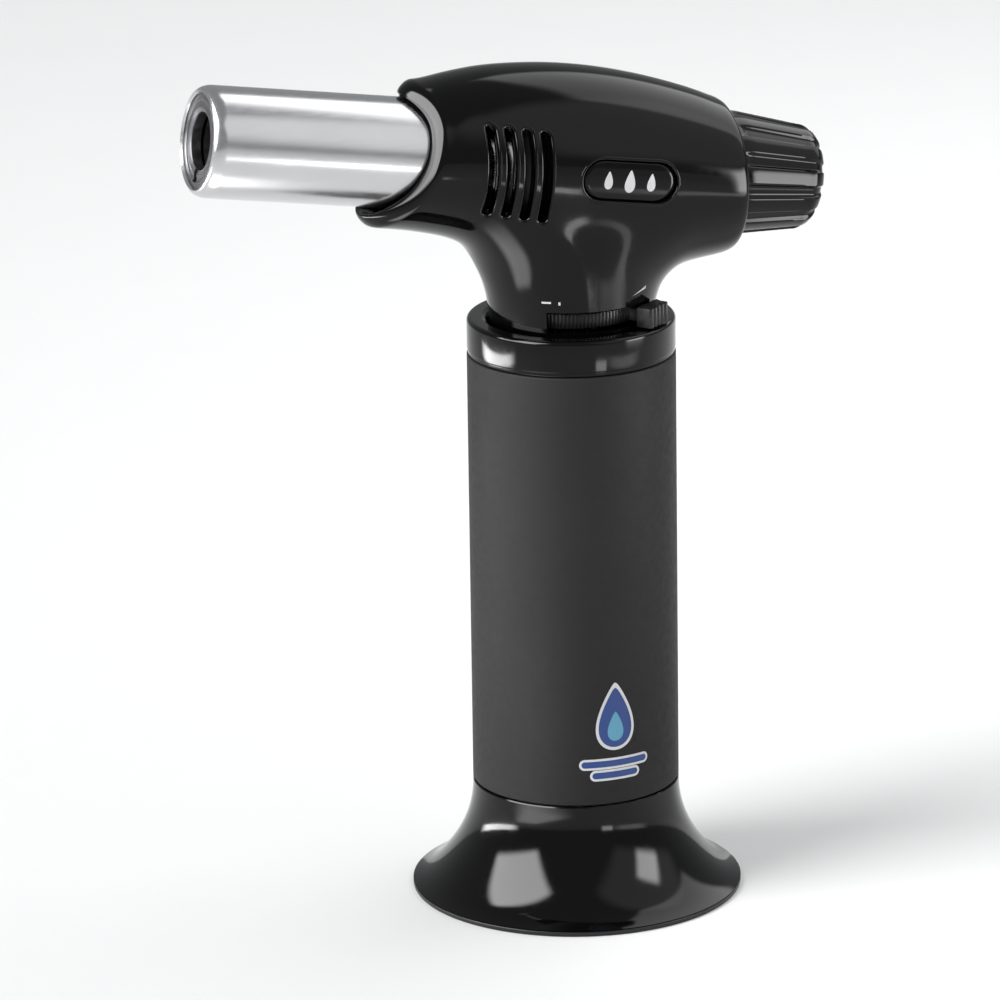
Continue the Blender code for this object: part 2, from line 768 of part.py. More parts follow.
# ---------------------------------------------------------------- gas valve, lever and hose


VALVE_BOTTOM = 88.0
VALVE_TOP = 107.0
PORT_HEIGHT = 104.0


def make_outlet_valve():
    profile = [
        (1.3, VALVE_TOP),
        (4.0, VALVE_TOP, 0.4),
        (4.0, VALVE_BOTTOM),
        (0.8, VALVE_BOTTOM),
        (0.8, 89.5),
        (2.6, 89.5),
        (2.6, 104.5),
        (1.3, 104.5),
    ]
    body = turned("outlet_valve_body", profile, "brass", TORCH, 20)
    shape = bmesh.new()
    add_rod(shape, (0.0, 3.2, PORT_HEIGHT), (0.0, 6.3, PORT_HEIGHT), 1.5, sides=12)
    boolean(body, new_cutter("valve_port", mesh_from("valve_port", shape), TORCH), "UNION")
    profile = [
        (0.0, 122.4),
        (1.0, 122.4),
        (1.0, 121.5),
        (2.4, 121.5),
        (2.4, 120.5),
        (1.0, 120.5),
        (1.0, 96.2),
        (2.2, 96.2),
        (2.2, 95.0),
        (0.0, 95.0),
    ]
    turned("outlet_valve_stem", profile, "steel", TORCH, 14, ring=False)
    wire("outlet_valve_spring", coil_path(1.8, 96.7, 103.9, 4), 0.28, "steel", TORCH)
    shape = bmesh.new()
    hexagon = [(6.6 * math.cos(math.tau * k / 6), 6.6 * math.sin(math.tau * k / 6)) for k in range(6)]
    add_prism(shape, hexagon, 100.7, 102.2)
    nut = new_piece("valve_nut", mesh_from("valve_nut", shape), "steel", TORCH)
    hole = turned_cutter("nut_hole", [(0.0, 104.0), (4.3, 104.0), (4.3, 99.0), (0.0, 99.0)], TORCH, 20)
    boolean(nut, hole)


def make_flame_lever():
    teeth = 14
    outline = []
    for index in range(teeth * 4):
        angle = math.tau * index / (teeth * 4)
        radius = 5.3 if index % 4 in (0, 1) else 4.6
        outline.append((radius * math.cos(angle), radius * math.sin(angle)))
    shape = bmesh.new()
    add_prism(shape, outline, VALVE_TOP + 0.4, LEVER_TOP)
    gear = new_piece("adjuster_gear", mesh_from("adjuster_gear", shape), "brass", TORCH)
    hole = turned_cutter("gear_hole", [(0.0, 115.0), (1.6, 115.0), (1.6, 105.0), (0.0, 105.0)], TORCH, 14)
    boolean(gear, hole)
    profile = [(5.7, LEVER_TOP), (8.0, LEVER_TOP), (8.0, LEVER_BOTTOM), (5.7, LEVER_BOTTOM)]
    lever = turned("flame_lever", profile, "satin_black", TORCH, 24)
    shape = bmesh.new()
    add_box(shape, (7.2, -1.9, LEVER_BOTTOM), (17.0, 1.9, LEVER_TOP))
    arm = new_cutter("lever_arm", mesh_from("lever_arm", shape), TORCH)
    shape = bmesh.new()
    add_box(shape, (15.6, -3.3, LEVER_BOTTOM - 0.7), (TAB_RADIUS, 3.3, LEVER_TOP + 0.7))
    tab = new_cutter("lever_tab", mesh_from("lever_tab", shape), TORCH)
    shape = bmesh.new()
    for index in range(4):
        across = -2.1 + 1.4 * index
        low = (TAB_RADIUS - 0.6, across - 0.3, LEVER_BOTTOM - 2.0)
        add_box(shape, low, (TAB_RADIUS + 2.0, across + 0.3, LEVER_TOP + 2.0))
    grooves = new_cutter("tab_grooves", mesh_from("tab_grooves", shape), TORCH)
    for tool, operation in ((arm, "UNION"), (tab, "UNION"), (grooves, "DIFFERENCE")):
        tool.rotation_euler.z = math.radians(LEVER_ANGLE)
        boolean(lever, tool, operation)


ROCKER_PIN = (-6.0, 119.0)


def make_rocker():
    """A bell crank: the button pushes its top forward, and its fork lifts the valve stem."""
    x, z = ROCKER_PIN
    outline = [
        (x - 1.6, z - 1.6),
        (x + 2.2, z - 1.4),
        (x + 7.6, z - 0.7),
        (x + 7.6, z + 0.4),
        (x + 2.6, z + 0.9),
        (x + 3.4, z + 3.0),
        (x + 8.0, z + 11.4),
        (x + 7.6, z + 12.6),
        (x + 5.9, z + 12.6),
        (x - 1.7, z + 1.2),
    ]
    shape = bmesh.new()
    add_prism(shape, outline, -2.4, 2.4, Matrix.Rotation(math.pi / 2, 4, "X"))
    rocker = new_piece("valve_rocker", mesh_from("valve_rocker", shape), "steel", TORCH)
    shape = bmesh.new()
    add_rod(shape, (x, -4.0, z), (x, 4.0, z), 1.0, sides=12)
    boolean(rocker, new_cutter("rocker_bore", mesh_from("rocker_bore", shape), TORCH))
    shape = bmesh.new()
    add_box(shape, (-1.7, -1.35, z - 3.0), (3.0, 1.35, z + 1.3))
    boolean(rocker, new_cutter("rocker_fork", mesh_from("rocker_fork", shape), TORCH))
    shape = bmesh.new()
    add_rod(shape, (x, -7.0, z), (x, 7.0, z), 0.8, sides=12)
    new_piece("rocker_pin", mesh_from("rocker_pin", shape), "steel", TORCH)


def make_hose():
    route = smooth_path(
        [
            (0.0, 6.6, PORT_HEIGHT),
            (0.0, 8.4, PORT_HEIGHT + 0.1),
            (0.0, 9.9, PORT_HEIGHT + 2.4),
            (0.0, 9.9, 112.0),
            (-1.0, 9.9, 120.0),
            (-3.4, 9.4, 130.0),
            (-6.0, 8.4, 137.0),
            (-6.9, 6.4, 139.3),
            (-6.9, 3.4, 139.3),
        ],
        3,
    )
    wire("gas_hose", route, 1.1, "rubber", TORCH)
    profile = [(1.4, 8.2), (1.9, 8.2), (1.9, 6.8), (1.4, 6.8)]
    ferrule = turned("hose_ferrule_lower", profile, "brass", TORCH, 12)
    ferrule.location = (0.0, 0.0, PORT_HEIGHT * MM)
    ferrule.rotation_euler.x = -math.pi / 2
    profile = [(1.4, 5.4), (1.9, 5.4), (1.9, 3.9), (1.4, 3.9)]
    ferrule = turned("hose_ferrule_upper", profile, "brass", TORCH, 12)
    ferrule.location = (-6.9 * MM, 0.0, 139.3 * MM)
    ferrule.rotation_euler.x = -math.pi / 2


# ---------------------------------------------------------------- tank and refill valve


def make_tank():
    inner = TANK_RADIUS - TANK_WALL
    profile = [
        (inner, TANK_TOP),
        (TANK_RADIUS, TANK_TOP),
        (TANK_RADIUS, TANK_BOTTOM, 1.0),
        (3.5, TANK_BOTTOM),
        (3.5, TANK_BOTTOM + 1.4),
        (inner, TANK_BOTTOM + 1.4),
    ]
    turned("fuel_tank", profile, "tank_plastic", TORCH, 24)
    profile = [
        (4.3, 100.4),
        (17.3, 100.4),
        (17.3, 97.1),
        (14.8, 97.1),
        (14.8, 93.5),
        (4.3, 93.5),
    ]
    turned("tank_top_cap", profile, "tank_plastic", TORCH, 24)
    seal = []
    for step in range(6):
        angle = -math.tau * step / 6
        seal.append((15.6 + 0.6 * math.cos(angle), 95.4 + 0.6 * math.sin(angle)))
    turned("tank_seal", seal, "rubber", TORCH, 20)
    profile = [(0.0, 87.6), (1.7, 87.6), (1.7, 21.0), (0.0, 21.0)]
    turned("fuel_wick", profile, "wick", TORCH, 12, ring=False)


def make_refill_valve():
    profile = [
        (0.7, 20.0),
        (3.2, 20.0, 0.4),
        (3.2, 11.6),
        (4.6, 11.6),
        (4.6, 9.6),
        (1.4, 9.6),
        (1.4, 11.0),
        (2.2, 11.0),
        (2.2, 18.6),
        (0.7, 18.6),
    ]
    turned("refill_valve_body", profile, "brass", TORCH, 18)
    profile = [
        (0.0, 14.0),
        (1.8, 14.0),
        (1.8, 13.0),
        (1.0, 13.0),
        (1.0, 8.2),
        (0.0, 8.2),
    ]
    turned("refill_valve_stem", profile, "brass", TORCH, 12, ring=False)
    wire("refill_valve_spring", coil_path(1.35, 14.5, 18.1, 3, 8), 0.24, "steel", TORCH)
    seal = []
    for step in range(6):
        angle = -math.tau * step / 6
        seal.append((1.62 + 0.36 * math.cos(angle), 12.1 + 0.36 * math.sin(angle)))
    turned("refill_valve_seal", seal, "rubber", TORCH, 12)


clear_scene()
PARTS = new_collection("butane_torch")
CUTTERS = new_collection("cutters")
TORCH = new_empty("torch", place=(BODY_X, 0.0, 0.0))
HEAD = new_empty("head", TORCH, (0.0, 0.0, HEAD_HEIGHT), tilt=HEAD_PITCH - 90.0)

make_foot()
make_sleeve_and_collar()
make_head_shells()
make_burner()
make_spark_parts()
make_button()
make_outlet_valve()
make_flame_lever()
make_rocker()
make_hose()
make_tank()
make_refill_valve()
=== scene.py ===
"""Outer surfaces, finishes and studio of a hand-held butane torch.

Lengths inside the script are millimetres, and MM turns them into metres when a mesh is made.
The body stands along Z. Head pieces are drawn in the head's own frame, written (up, across,
along): up from the head's axis, across it, and along it towards the nozzle.
"""

import json
import math

import bmesh
import bpy
from bpy.props import FloatProperty, FloatVectorProperty, IntProperty, PointerProperty
from mathutils import Matrix, Vector
from mathutils.bvhtree import BVHTree


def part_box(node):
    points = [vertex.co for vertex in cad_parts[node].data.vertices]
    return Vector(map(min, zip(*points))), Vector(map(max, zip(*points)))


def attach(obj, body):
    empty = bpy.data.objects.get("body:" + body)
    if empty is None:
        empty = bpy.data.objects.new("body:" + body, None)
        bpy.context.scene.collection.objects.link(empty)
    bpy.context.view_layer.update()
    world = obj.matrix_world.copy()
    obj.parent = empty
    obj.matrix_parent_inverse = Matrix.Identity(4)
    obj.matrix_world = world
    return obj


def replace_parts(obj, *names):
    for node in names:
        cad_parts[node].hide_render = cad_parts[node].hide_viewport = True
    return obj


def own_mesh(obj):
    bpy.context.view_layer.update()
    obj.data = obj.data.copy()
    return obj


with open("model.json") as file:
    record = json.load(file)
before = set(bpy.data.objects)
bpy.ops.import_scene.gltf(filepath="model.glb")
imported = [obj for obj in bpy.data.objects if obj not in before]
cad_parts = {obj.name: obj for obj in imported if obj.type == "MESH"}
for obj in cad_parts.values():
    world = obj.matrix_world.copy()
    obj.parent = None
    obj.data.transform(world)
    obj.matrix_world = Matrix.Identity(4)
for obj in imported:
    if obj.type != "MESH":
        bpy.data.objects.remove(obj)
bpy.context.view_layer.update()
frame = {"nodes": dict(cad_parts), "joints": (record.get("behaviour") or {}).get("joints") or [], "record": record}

bl_info = {
    "name": "Butane torch",
    "version": (1, 0, 0),
    "blender": (4, 5, 0),
    "location": "3D View > Sidebar > Torch",
    "description": "Builds the surfaces, finishes and studio of a hand-held butane torch",
    "category": "Object",
}

MM = 0.001
JOINTS = {joint["name"]: joint for joint in frame["joints"]}


def box_mm(node):
    """Lowest and highest corners of a node, in millimetres."""
    low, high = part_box(node)
    return low / MM, high / MM


# The head's axis crosses the body's axis at the button's pivot.
HEAD_POINT = Vector(JOINTS["button_twist"]["pos_m"]) / MM
NOZZLE_WAY = Vector(JOINTS["button_twist"]["axis"]).normalized()
UP_WAY = Vector((NOZZLE_WAY.z, 0.0, -NOZZLE_WAY.x))
PITCH = math.asin(NOZZLE_WAY.z)
BODY_X = HEAD_POINT.x
HEAD_HEIGHT = HEAD_POINT.z
HEAD = Matrix.Translation(HEAD_POINT) @ Matrix(
    (
        (UP_WAY.x, 0.0, NOZZLE_WAY.x, 0.0),
        (0.0, 1.0, 0.0, 0.0),
        (UP_WAY.z, 0.0, NOZZLE_WAY.z, 0.0),
        (0.0, 0.0, 0.0, 1.0),
    )
)
TORCH = Matrix.Translation((BODY_X, 0.0, 0.0))

FOOT_LOW, FOOT_HIGH = box_mm("base_stand")
RING_LOW, RING_HIGH = box_mm("foot_ring")
SLEEVE_LOW, SLEEVE_HIGH = box_mm("grip_sleeve")
COLLAR_LOW, COLLAR_HIGH = box_mm("collar_ring")
LEVER_LOW, LEVER_HIGH = box_mm("flame_lever")
SLEEVE_RADIUS = (SLEEVE_HIGH.y - SLEEVE_LOW.y) / 2
TUBE_RADIUS = box_mm("flame_tube")[1].y


def along_of(node, toward_nozzle):
    """How far along the head's axis a node reaches, towards the nozzle or away from it."""
    turn = HEAD.inverted()
    reach = [(turn @ (vertex.co / MM)).z for vertex in frame["nodes"][node].data.vertices]
    return max(reach) if toward_nozzle else min(reach)


TUBE_FRONT = along_of("flame_tube", True)
TUBE_REAR = along_of("flame_tube", False)
KNOB_FRONT = along_of("ignition_knob", True)
KNOB_REAR = along_of("ignition_knob", False)
# Turns a drawing in (along, up) and its thickness into the head's (up, across, along).
SIDE_VIEW = Matrix(((0, 1, 0, 0), (0, 0, 1, 0), (1, 0, 0, 0), (0, 0, 0, 1)))
REAR_PLANE = 30.0


LEVER_TRAVEL = -JOINTS["flame_adjust"]["range_deg"][0]


def lever_angle():
    """The lever's angle about the body's axis, from the end of its tab."""
    spots = [
        Vector((vertex.co.x / MM - BODY_X, vertex.co.y / MM))
        for vertex in frame["nodes"]["flame_lever"].data.vertices
    ]
    reach = max(spot.length for spot in spots)
    end = [spot for spot in spots if spot.length > reach - 0.5]
    middle = sum(end, Vector((0.0, 0.0))) / len(end)
    return math.degrees(math.atan2(middle.y, middle.x))


LEVER_ANGLE = lever_angle()


# ---------------------------------------------------------------- sizes and colours


class TorchSizes(bpy.types.PropertyGroup):
    """Sizes that shape the torch, in millimetres."""

    foot_radius: FloatProperty(
        name="Foot radius", description="Radius of the foot's rim", default=RING_HIGH.y, min=25, max=40
    )
    sleeve_radius: FloatProperty(
        name="Grip radius", description="Radius of the grip sleeve", default=SLEEVE_RADIUS, min=15, max=25
    )
    collar_round: FloatProperty(
        name="Collar rounding", description="Rounding of the collar's top edge", default=0.8, min=0.2, max=3
    )
    tube_radius: FloatProperty(
        name="Tube radius", description="Outer radius of the flame tube", default=TUBE_RADIUS, min=8, max=12
    )
    bore_radius: FloatProperty(
        name="Bore radius", description="Radius of the burner's open mouth", default=5.2, min=3, max=7
    )
    knob_radius: FloatProperty(
        name="Button radius", description="Radius of the button where it leaves the head", default=11.4
    )
    knob_end_radius: FloatProperty(
        name="Button end radius", description="Radius of the button near its end", default=9.7
    )
    flutes: IntProperty(
        name="Flutes", description="Number of grooves round the ignition button", default=12, min=6, max=24
    )
    flute_depth: FloatProperty(
        name="Flute depth", description="Depth of the button's grooves", default=0.75, min=0.1, max=1.5
    )
    vent_width: FloatProperty(
        name="Vent width", description="Clear width of an air slot", default=1.8, min=1, max=3
    )
    vent_round: FloatProperty(
        name="Vent rounding", description="Rounding of an air slot's edge", default=0.45, min=0.1, max=0.6
    )
    shell_wall: FloatProperty(
        name="Shell wall", description="Wall thickness of the head's shells", default=1.2, min=0.6, max=1.6
    )


class TorchColours(bpy.types.PropertyGroup):
    """Base colours of the torch's finishes."""

    black: FloatVectorProperty(
        name="Gloss black",
        description="Polished mouldings",
        subtype="COLOR",
        default=(0.0016, 0.0016, 0.0017),
    )
    grip: FloatVectorProperty(
        name="Grip grey", description="Soft-touch sleeve", subtype="COLOR", default=(0.014, 0.0135, 0.0137)
    )
    # This satin black also colours the painted-shade sheet behind the rear vents.
    satin: FloatVectorProperty(
        name="Satin black",
        description="Lever and foot rim",
        subtype="COLOR",
        default=(0.010, 0.010, 0.0105),
    )
    tube: FloatVectorProperty(
        name="Tube metal", description="Polished flame tube", subtype="COLOR", default=(0.57, 0.57, 0.58)
    )
    burner: FloatVectorProperty(
        name="Burner metal",
        description="Heat-darkened burner",
        subtype="COLOR",
        default=(0.10, 0.10, 0.105),
    )
    mark: FloatVectorProperty(
        name="Mark blue", description="Sticker's flame", subtype="COLOR", default=(0.006, 0.045, 0.22)
    )
    floor: FloatVectorProperty(
        name="Floor", description="Studio floor", subtype="COLOR", default=(0.78, 0.78, 0.78)
    )


def sizes():
    return bpy.context.scene.torch_sizes


def colours():
    return bpy.context.scene.torch_colours


# ---------------------------------------------------------------- materials


def new_finish(name):
    """A material with its node tree, its Principled shader and object coordinates."""
    material = bpy.data.materials.new(name)
    material.use_nodes = True
    tree = material.node_tree
    shader = tree.nodes["Principled BSDF"]
    place = tree.nodes.new("ShaderNodeTexCoord")
    place.location = (-1100, 0)
    return material, tree, shader, place.outputs["Object"]


def noise(tree, place, scale, detail=3.0, stretch=(1.0, 1.0, 1.0)):
    """Noise of a scale in features per metre, stretched along an axis by a small factor."""
    mapping = tree.nodes.new("ShaderNodeMapping")
    mapping.inputs["Scale"].default_value = stretch
    tree.links.new(place, mapping.inputs["Vector"])
    texture = tree.nodes.new("ShaderNodeTexNoise")
    texture.inputs["Scale"].default_value = scale
    texture.inputs["Detail"].default_value = detail
    tree.links.new(mapping.outputs["Vector"], texture.inputs["Vector"])
    return texture.outputs["Fac"]


def spread(tree, value, low, high, start=0.3, end=0.7):
    """Maps a value's middle stretch onto a range."""
    remap = tree.nodes.new("ShaderNodeMapRange")
    remap.inputs["From Min"].default_value = start
    remap.inputs["From Max"].default_value = end
    remap.inputs["To Min"].default_value = low
    remap.inputs["To Max"].default_value = high
    tree.links.new(value, remap.inputs["Value"])
    return remap.outputs["Result"]


def blend_colours(tree, factor, first, second):
    mix = tree.nodes.new("ShaderNodeMix")
    mix.data_type = "RGBA"
    mix.inputs["A"].default_value = (*first, 1.0)
    mix.inputs["B"].default_value = (*second, 1.0)
    tree.links.new(factor, mix.inputs["Factor"])
    return mix.outputs["Result"]


def bump(tree, shader, height, depth_mm, strength=1.0):
    node = tree.nodes.new("ShaderNodeBump")
    node.inputs["Distance"].default_value = depth_mm * MM
    node.inputs["Strength"].default_value = strength
    tree.links.new(height, node.inputs["Height"])
    tree.links.new(node.outputs["Normal"], shader.inputs["Normal"])


def scaled(colour, factor):
    return tuple(channel * factor for channel in colour)


def moulding(name, colour, smooth, rough, grain, depth, ior=1.5, vary=0.1):
    """Moulded plastic: a slow change of gloss and a fine skin of the given grain and depth."""
    material, tree, shader, place = new_finish(name)
    slow = noise(tree, place, 45.0, 2.0)
    dark, light = scaled(colour, 1 - vary), scaled(colour, 1 + vary)
    tint = blend_colours(tree, spread(tree, slow, 0.0, 1.0), dark, light)
    tree.links.new(tint, shader.inputs["Base Color"])
    fine = noise(tree, place, 700.0, 4.0)
    tree.links.new(spread(tree, fine, smooth, rough), shader.inputs["Roughness"])
    bump(tree, shader, noise(tree, place, grain, 2.0), depth)
    shader.inputs["IOR"].default_value = ior
    return material


def polished_metal(name, colour, smooth, rough, stretch=(1.0, 1.0, 1.0), grain=2500.0):
    """Metal with fine polishing lines along the axis that the stretch keeps small."""
    material, tree, shader, place = new_finish(name)
    shader.inputs["Metallic"].default_value = 1.0
    lines = noise(tree, place, grain, 3.0, stretch)
    tree.links.new(spread(tree, lines, smooth, rough), shader.inputs["Roughness"])
    slow = noise(tree, place, 60.0, 3.0)
    tint = blend_colours(tree, spread(tree, slow, 0.0, 1.0), scaled(colour, 0.94), colour)
    tree.links.new(tint, shader.inputs["Base Color"])
    bump(tree, shader, lines, 0.004, 0.5)
    return material


def felt(name, colour):
    """Fibrous wick: coarse mottling and a deep soft grain."""
    material, tree, shader, place = new_finish(name)
    fibres = noise(tree, place, 1500.0, 5.0, (1.0, 1.0, 0.15))
    tint = blend_colours(tree, spread(tree, fibres, 0.0, 1.0), scaled(colour, 0.7), colour)
    tree.links.new(tint, shader.inputs["Base Color"])
    shader.inputs["Roughness"].default_value = 0.95
    shader.inputs["Sheen Weight"].default_value = 0.3
    bump(tree, shader, fibres, 0.15)
    return material


def make_finishes():
    """Every finish of the torch, by the name of the record's material slot or its own."""
    shade = colours()
    black = tuple(shade.black)
    satin = tuple(shade.satin)
    # Name, colour, least and greatest roughness, grain per metre, its depth in mm, and IOR.
    return {
        "gloss_black": moulding("polished_black", black, 0.065, 0.10, 220.0, 0.004, 1.30),
        "soft_grey": moulding("soft_touch_grey", tuple(shade.grip), 0.55, 0.66, 5200.0, 0.02, 1.28),
        "satin_black": moulding("satin_black", satin, 0.30, 0.42, 3200.0, 0.01, 1.4),
        "chrome": polished_metal("polished_tube", tuple(shade.tube), 0.17, 0.24, (0.04, 1.0, 1.0)),
        "dark_metal": polished_metal("burnt_steel", tuple(shade.burner), 0.32, 0.5, grain=900.0),
        "steel": polished_metal("plain_steel", (0.56, 0.56, 0.57), 0.22, 0.38, (1.0, 1.0, 0.2)),
        "brass": polished_metal("turned_brass", (0.70, 0.50, 0.22), 0.2, 0.34, (0.2, 1.0, 1.0)),
        "ceramic": moulding("white_ceramic", (0.82, 0.80, 0.75), 0.25, 0.4, 900.0, 0.01, 1.6),
        "rubber": moulding("black_rubber", (0.018, 0.018, 0.018), 0.6, 0.8, 1800.0, 0.03),
        "tank_plastic": moulding("nylon", (0.52, 0.54, 0.57), 0.3, 0.45, 1200.0, 0.01),
        "wick": felt("wick_felt", (0.74, 0.71, 0.63)),
        "cable_red": moulding("red_insulation", (0.42, 0.03, 0.025), 0.35, 0.5, 1500.0, 0.01),
        "white_ink": moulding("white_ink", (0.68, 0.68, 0.69), 0.4, 0.55, 2500.0, 0.004),
        "blue_ink": moulding("blue_ink", tuple(shade.mark), 0.3, 0.42, 2500.0, 0.004),
        "pale_ink": moulding("pale_ink", (0.10, 0.34, 0.50), 0.3, 0.42, 2500.0, 0.004),
    }


FINISHES = {}


# ---------------------------------------------------------------- mesh helpers


def new_piece(name, mesh, finish, body):
    """Puts a finished mesh in the scene, riding on a body of the frame."""
    piece = bpy.data.objects.new(name, mesh)
    bpy.context.scene.collection.objects.link(piece)
    mesh.materials.clear()
    mesh.materials.append(FINISHES[finish])
    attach(piece, body)
    return piece


def mesh_from(name, shape, place, sharp=32.0):
    """Turns a bmesh in millimetres, drawn in the given frame, into a smooth mesh in metres."""
    bmesh.ops.transform(shape, matrix=Matrix.Scale(MM, 4) @ place, verts=shape.verts[:])
    mesh = bpy.data.meshes.new(name)
    shape.to_mesh(mesh)
    shape.free()
    mesh.shade_smooth()
    mesh.set_sharp_from_angle(angle=math.radians(sharp))
    return mesh


def rounded(corners, steps=8):
    """The corners as 2D points; a corner given as (r, z, radius) becomes an arc."""
    path = []
    for index, corner in enumerate(corners):
        here = Vector(corner[:2])
        if len(corner) == 2:
            path.append(here)
            continue
        back = (Vector(corners[index - 1][:2]) - here).normalized()
        ahead = (Vector(corners[(index + 1) % len(corners)][:2]) - here).normalized()
        half = back.angle(ahead) / 2
        radius = corner[2]
        centre = here + (back + ahead).normalized() * (radius / math.sin(half))
        start = here + back * (radius / math.tan(half)) - centre
        end = here + ahead * (radius / math.tan(half)) - centre
        first = math.atan2(start.y, start.x)
        sweep = math.remainder(math.atan2(end.y, end.x) - first, math.tau)
        for step in range(steps + 1):
            angle = first + sweep * step / steps
            path.append(centre + Vector((math.cos(angle), math.sin(angle))) * radius)
    return path


def strip(shape, rings, closed=True):
    """Joins rings of vertices one after another with quads."""
    for ahead, behind in zip(rings, rings[1:]):
        count = len(ahead)
        for index in range(count if closed else count - 1):
            after = (index + 1) % count
            shape.faces.new((ahead[index], ahead[after], behind[after], behind[index]))


def join_rings(shape, rings):
    """Joins rings of vertices about an axis; a ring of one vertex is a pole."""
    for above, below in zip(rings, rings[1:]):
        count = max(len(above), len(below))
        for index in range(count):
            after = (index + 1) % count
            if len(above) == 1:
                shape.faces.new((above[0], below[index], below[after]))
            elif len(below) == 1:
                shape.faces.new((above[index], below[0], above[after]))
            else:
                shape.faces.new((above[index], below[index], below[after], above[after]))


def turned(name, corners, place, steps=144, ring=True, sharp=32.0):
    """A turned mesh about the frame's Z. The profile's outer side runs from top to bottom."""
    path = rounded(corners)
    shape = bmesh.new()
    rings = []
    for point in path:
        if point.x < 1e-6:
            rings.append([shape.verts.new((0.0, 0.0, point.y))])
            continue
        turns = [math.tau * step / steps for step in range(steps)]
        circle = [(point.x * math.cos(turn), point.x * math.sin(turn), point.y) for turn in turns]
        rings.append([shape.verts.new(spot) for spot in circle])
    if ring:
        rings.append(rings[0])
    join_rings(shape, rings)
    bmesh.ops.recalc_face_normals(shape, faces=shape.faces[:])
    return mesh_from(name, shape, place, sharp)


def add_prism(shape, outline, low, high, turn=None):
    """Adds a flat outline in XY, drawn out from low to high along Z."""
    base = [shape.verts.new((x, y, low)) for x, y in outline]
    face = shape.faces.new(base)
    lifted = bmesh.ops.extrude_face_region(shape, geom=[face])["geom"]
    top = [item for item in lifted if isinstance(item, bmesh.types.BMVert)]
    bmesh.ops.translate(shape, vec=(0.0, 0.0, high - low), verts=top)
    if turn is not None:
        bmesh.ops.transform(shape, matrix=turn, verts=base + top)


def settle(piece):
    """Applies every modifier of a piece to its mesh."""
    graph = bpy.context.evaluated_depsgraph_get()
    mesh = bpy.data.meshes.new_from_object(piece.evaluated_get(graph))
    old = piece.data
    piece.modifiers.clear()
    piece.data = mesh
    mesh.name = old.name
    bpy.data.meshes.remove(old)


def scratch_object(name, mesh):
    """An object that only helps to make another and is removed again."""
    thing = bpy.data.objects.new(name, mesh)
    bpy.context.scene.collection.objects.link(thing)
    return thing


def thicken(piece, thickness, offset):
    """Gives an open surface a wall of a thickness in millimetres."""
    wall = piece.modifiers.new("wall", "SOLIDIFY")
    wall.thickness = thickness * MM
    wall.offset = offset
    settle(piece)


def turned_piece(name, profile, place, steps, finish, body="body"):
    return new_piece(name, turned(name, profile, place, steps), finish, body)


def laid_piece(name, shape, finish):
    """A piece drawn on another's surface, from a bmesh in world millimetres."""
    bmesh.ops.recalc_face_normals(shape, faces=shape.faces[:])
    mesh = mesh_from(name, shape, Matrix.Identity(4), 60.0)
    return new_piece(name, mesh, finish, "body")


def carve(piece, shape, name, operation="DIFFERENCE"):
    """Cuts a bmesh in millimetres and world place from a piece, or joins it to the piece."""
    bmesh.ops.recalc_face_normals(shape, faces=shape.faces[:])
    bmesh.ops.scale(shape, vec=(MM, MM, MM), verts=shape.verts[:])
    mesh = bpy.data.meshes.new(name)
    shape.to_mesh(mesh)
    shape.free()
    tool = scratch_object(name, mesh)
    cut = piece.modifiers.new(name, "BOOLEAN")
    cut.operation = operation
    cut.object = tool
    cut.solver = "EXACT"
    settle(piece)
    bpy.data.objects.remove(tool)
    bpy.data.meshes.remove(mesh)


# ---------------------------------------------------------------- the head's surface


# The head is drawn as rings of this many points, numbered from the top.
RING_POINTS = 16
# A smooth surface over a ring of that many points lies inside them by this share.
RING_SWELL = 3 / (2 + math.cos(math.tau / RING_POINTS))
# The neck grows from these points of the rings, between these two sections.
NECK_FIRST, NECK_LAST = 5, 11
NECK_SECTION_FIRST, NECK_SECTION_LAST = 2, 8
# Cross-sections of the head: place along the axis, half-width, height above and below it.
SECTIONS = (
    (26.0, 13.8, 15.0, 14.2),
    (22.0, 14.2, 16.1, 14.8),
    (18.0, 14.7, 17.0, 16.2),
    (11.5, 15.1, 17.8, 17.4),
    (5.0, 15.4, 18.2, 18.0),
    (-1.5, 15.5, 18.1, 18.0),
    (-8.0, 15.4, 17.6, 18.0),
    (-15.0, 15.1, 16.6, 17.8),
    (-22.0, 14.6, 15.2, 17.2),
)
# Rings of the neck: height at the front, rear and sides, and radius at each.
NECK_RINGS = (
    (120.5, 115.2, 124.0, 18.0, 17.1, 15.1),
    (116.3, 112.9, 117.5, 16.1, 15.9, 15.0),
    (112.2, 111.0, 112.6, 15.2, 15.2, 15.0),
    (109.0, 108.6, 109.2, 15.0, 15.0, 15.0),
    (105.0, 105.0, 105.0, 15.0, 15.0, 15.0),
)


def front_rim(angle):
    """How far forward the head's mouth reaches: least at the sides, most at the lower spout."""
    visor = 3.7 * max(0.0, math.cos(angle)) ** 8
    spout = 8.5 * ((1 - math.cos(angle)) / 2) ** 3.5
    return 29.3 + visor + spout


def rear_rim(up):
    """Where the upright plane at the head's rear meets a height above the head's axis."""
    return (up * math.sin(PITCH) - REAR_PLANE) / math.cos(PITCH)


def oval(angle, half_width, top, bottom):
    """A point (up, across) of an oval section; the angle starts at the top."""
    height = top if math.cos(angle) > 0 else bottom
    return RING_SWELL * height * math.cos(angle), -RING_SWELL * half_width * math.sin(angle)


def lip_lead(angle):
    """How far the lip's inner edge lies ahead of its outer rim."""
    return 1.6 + 0.9 * max(0.0, math.cos(angle)) ** 8 + 0.5 * ((1 - math.cos(angle)) / 2) ** 6


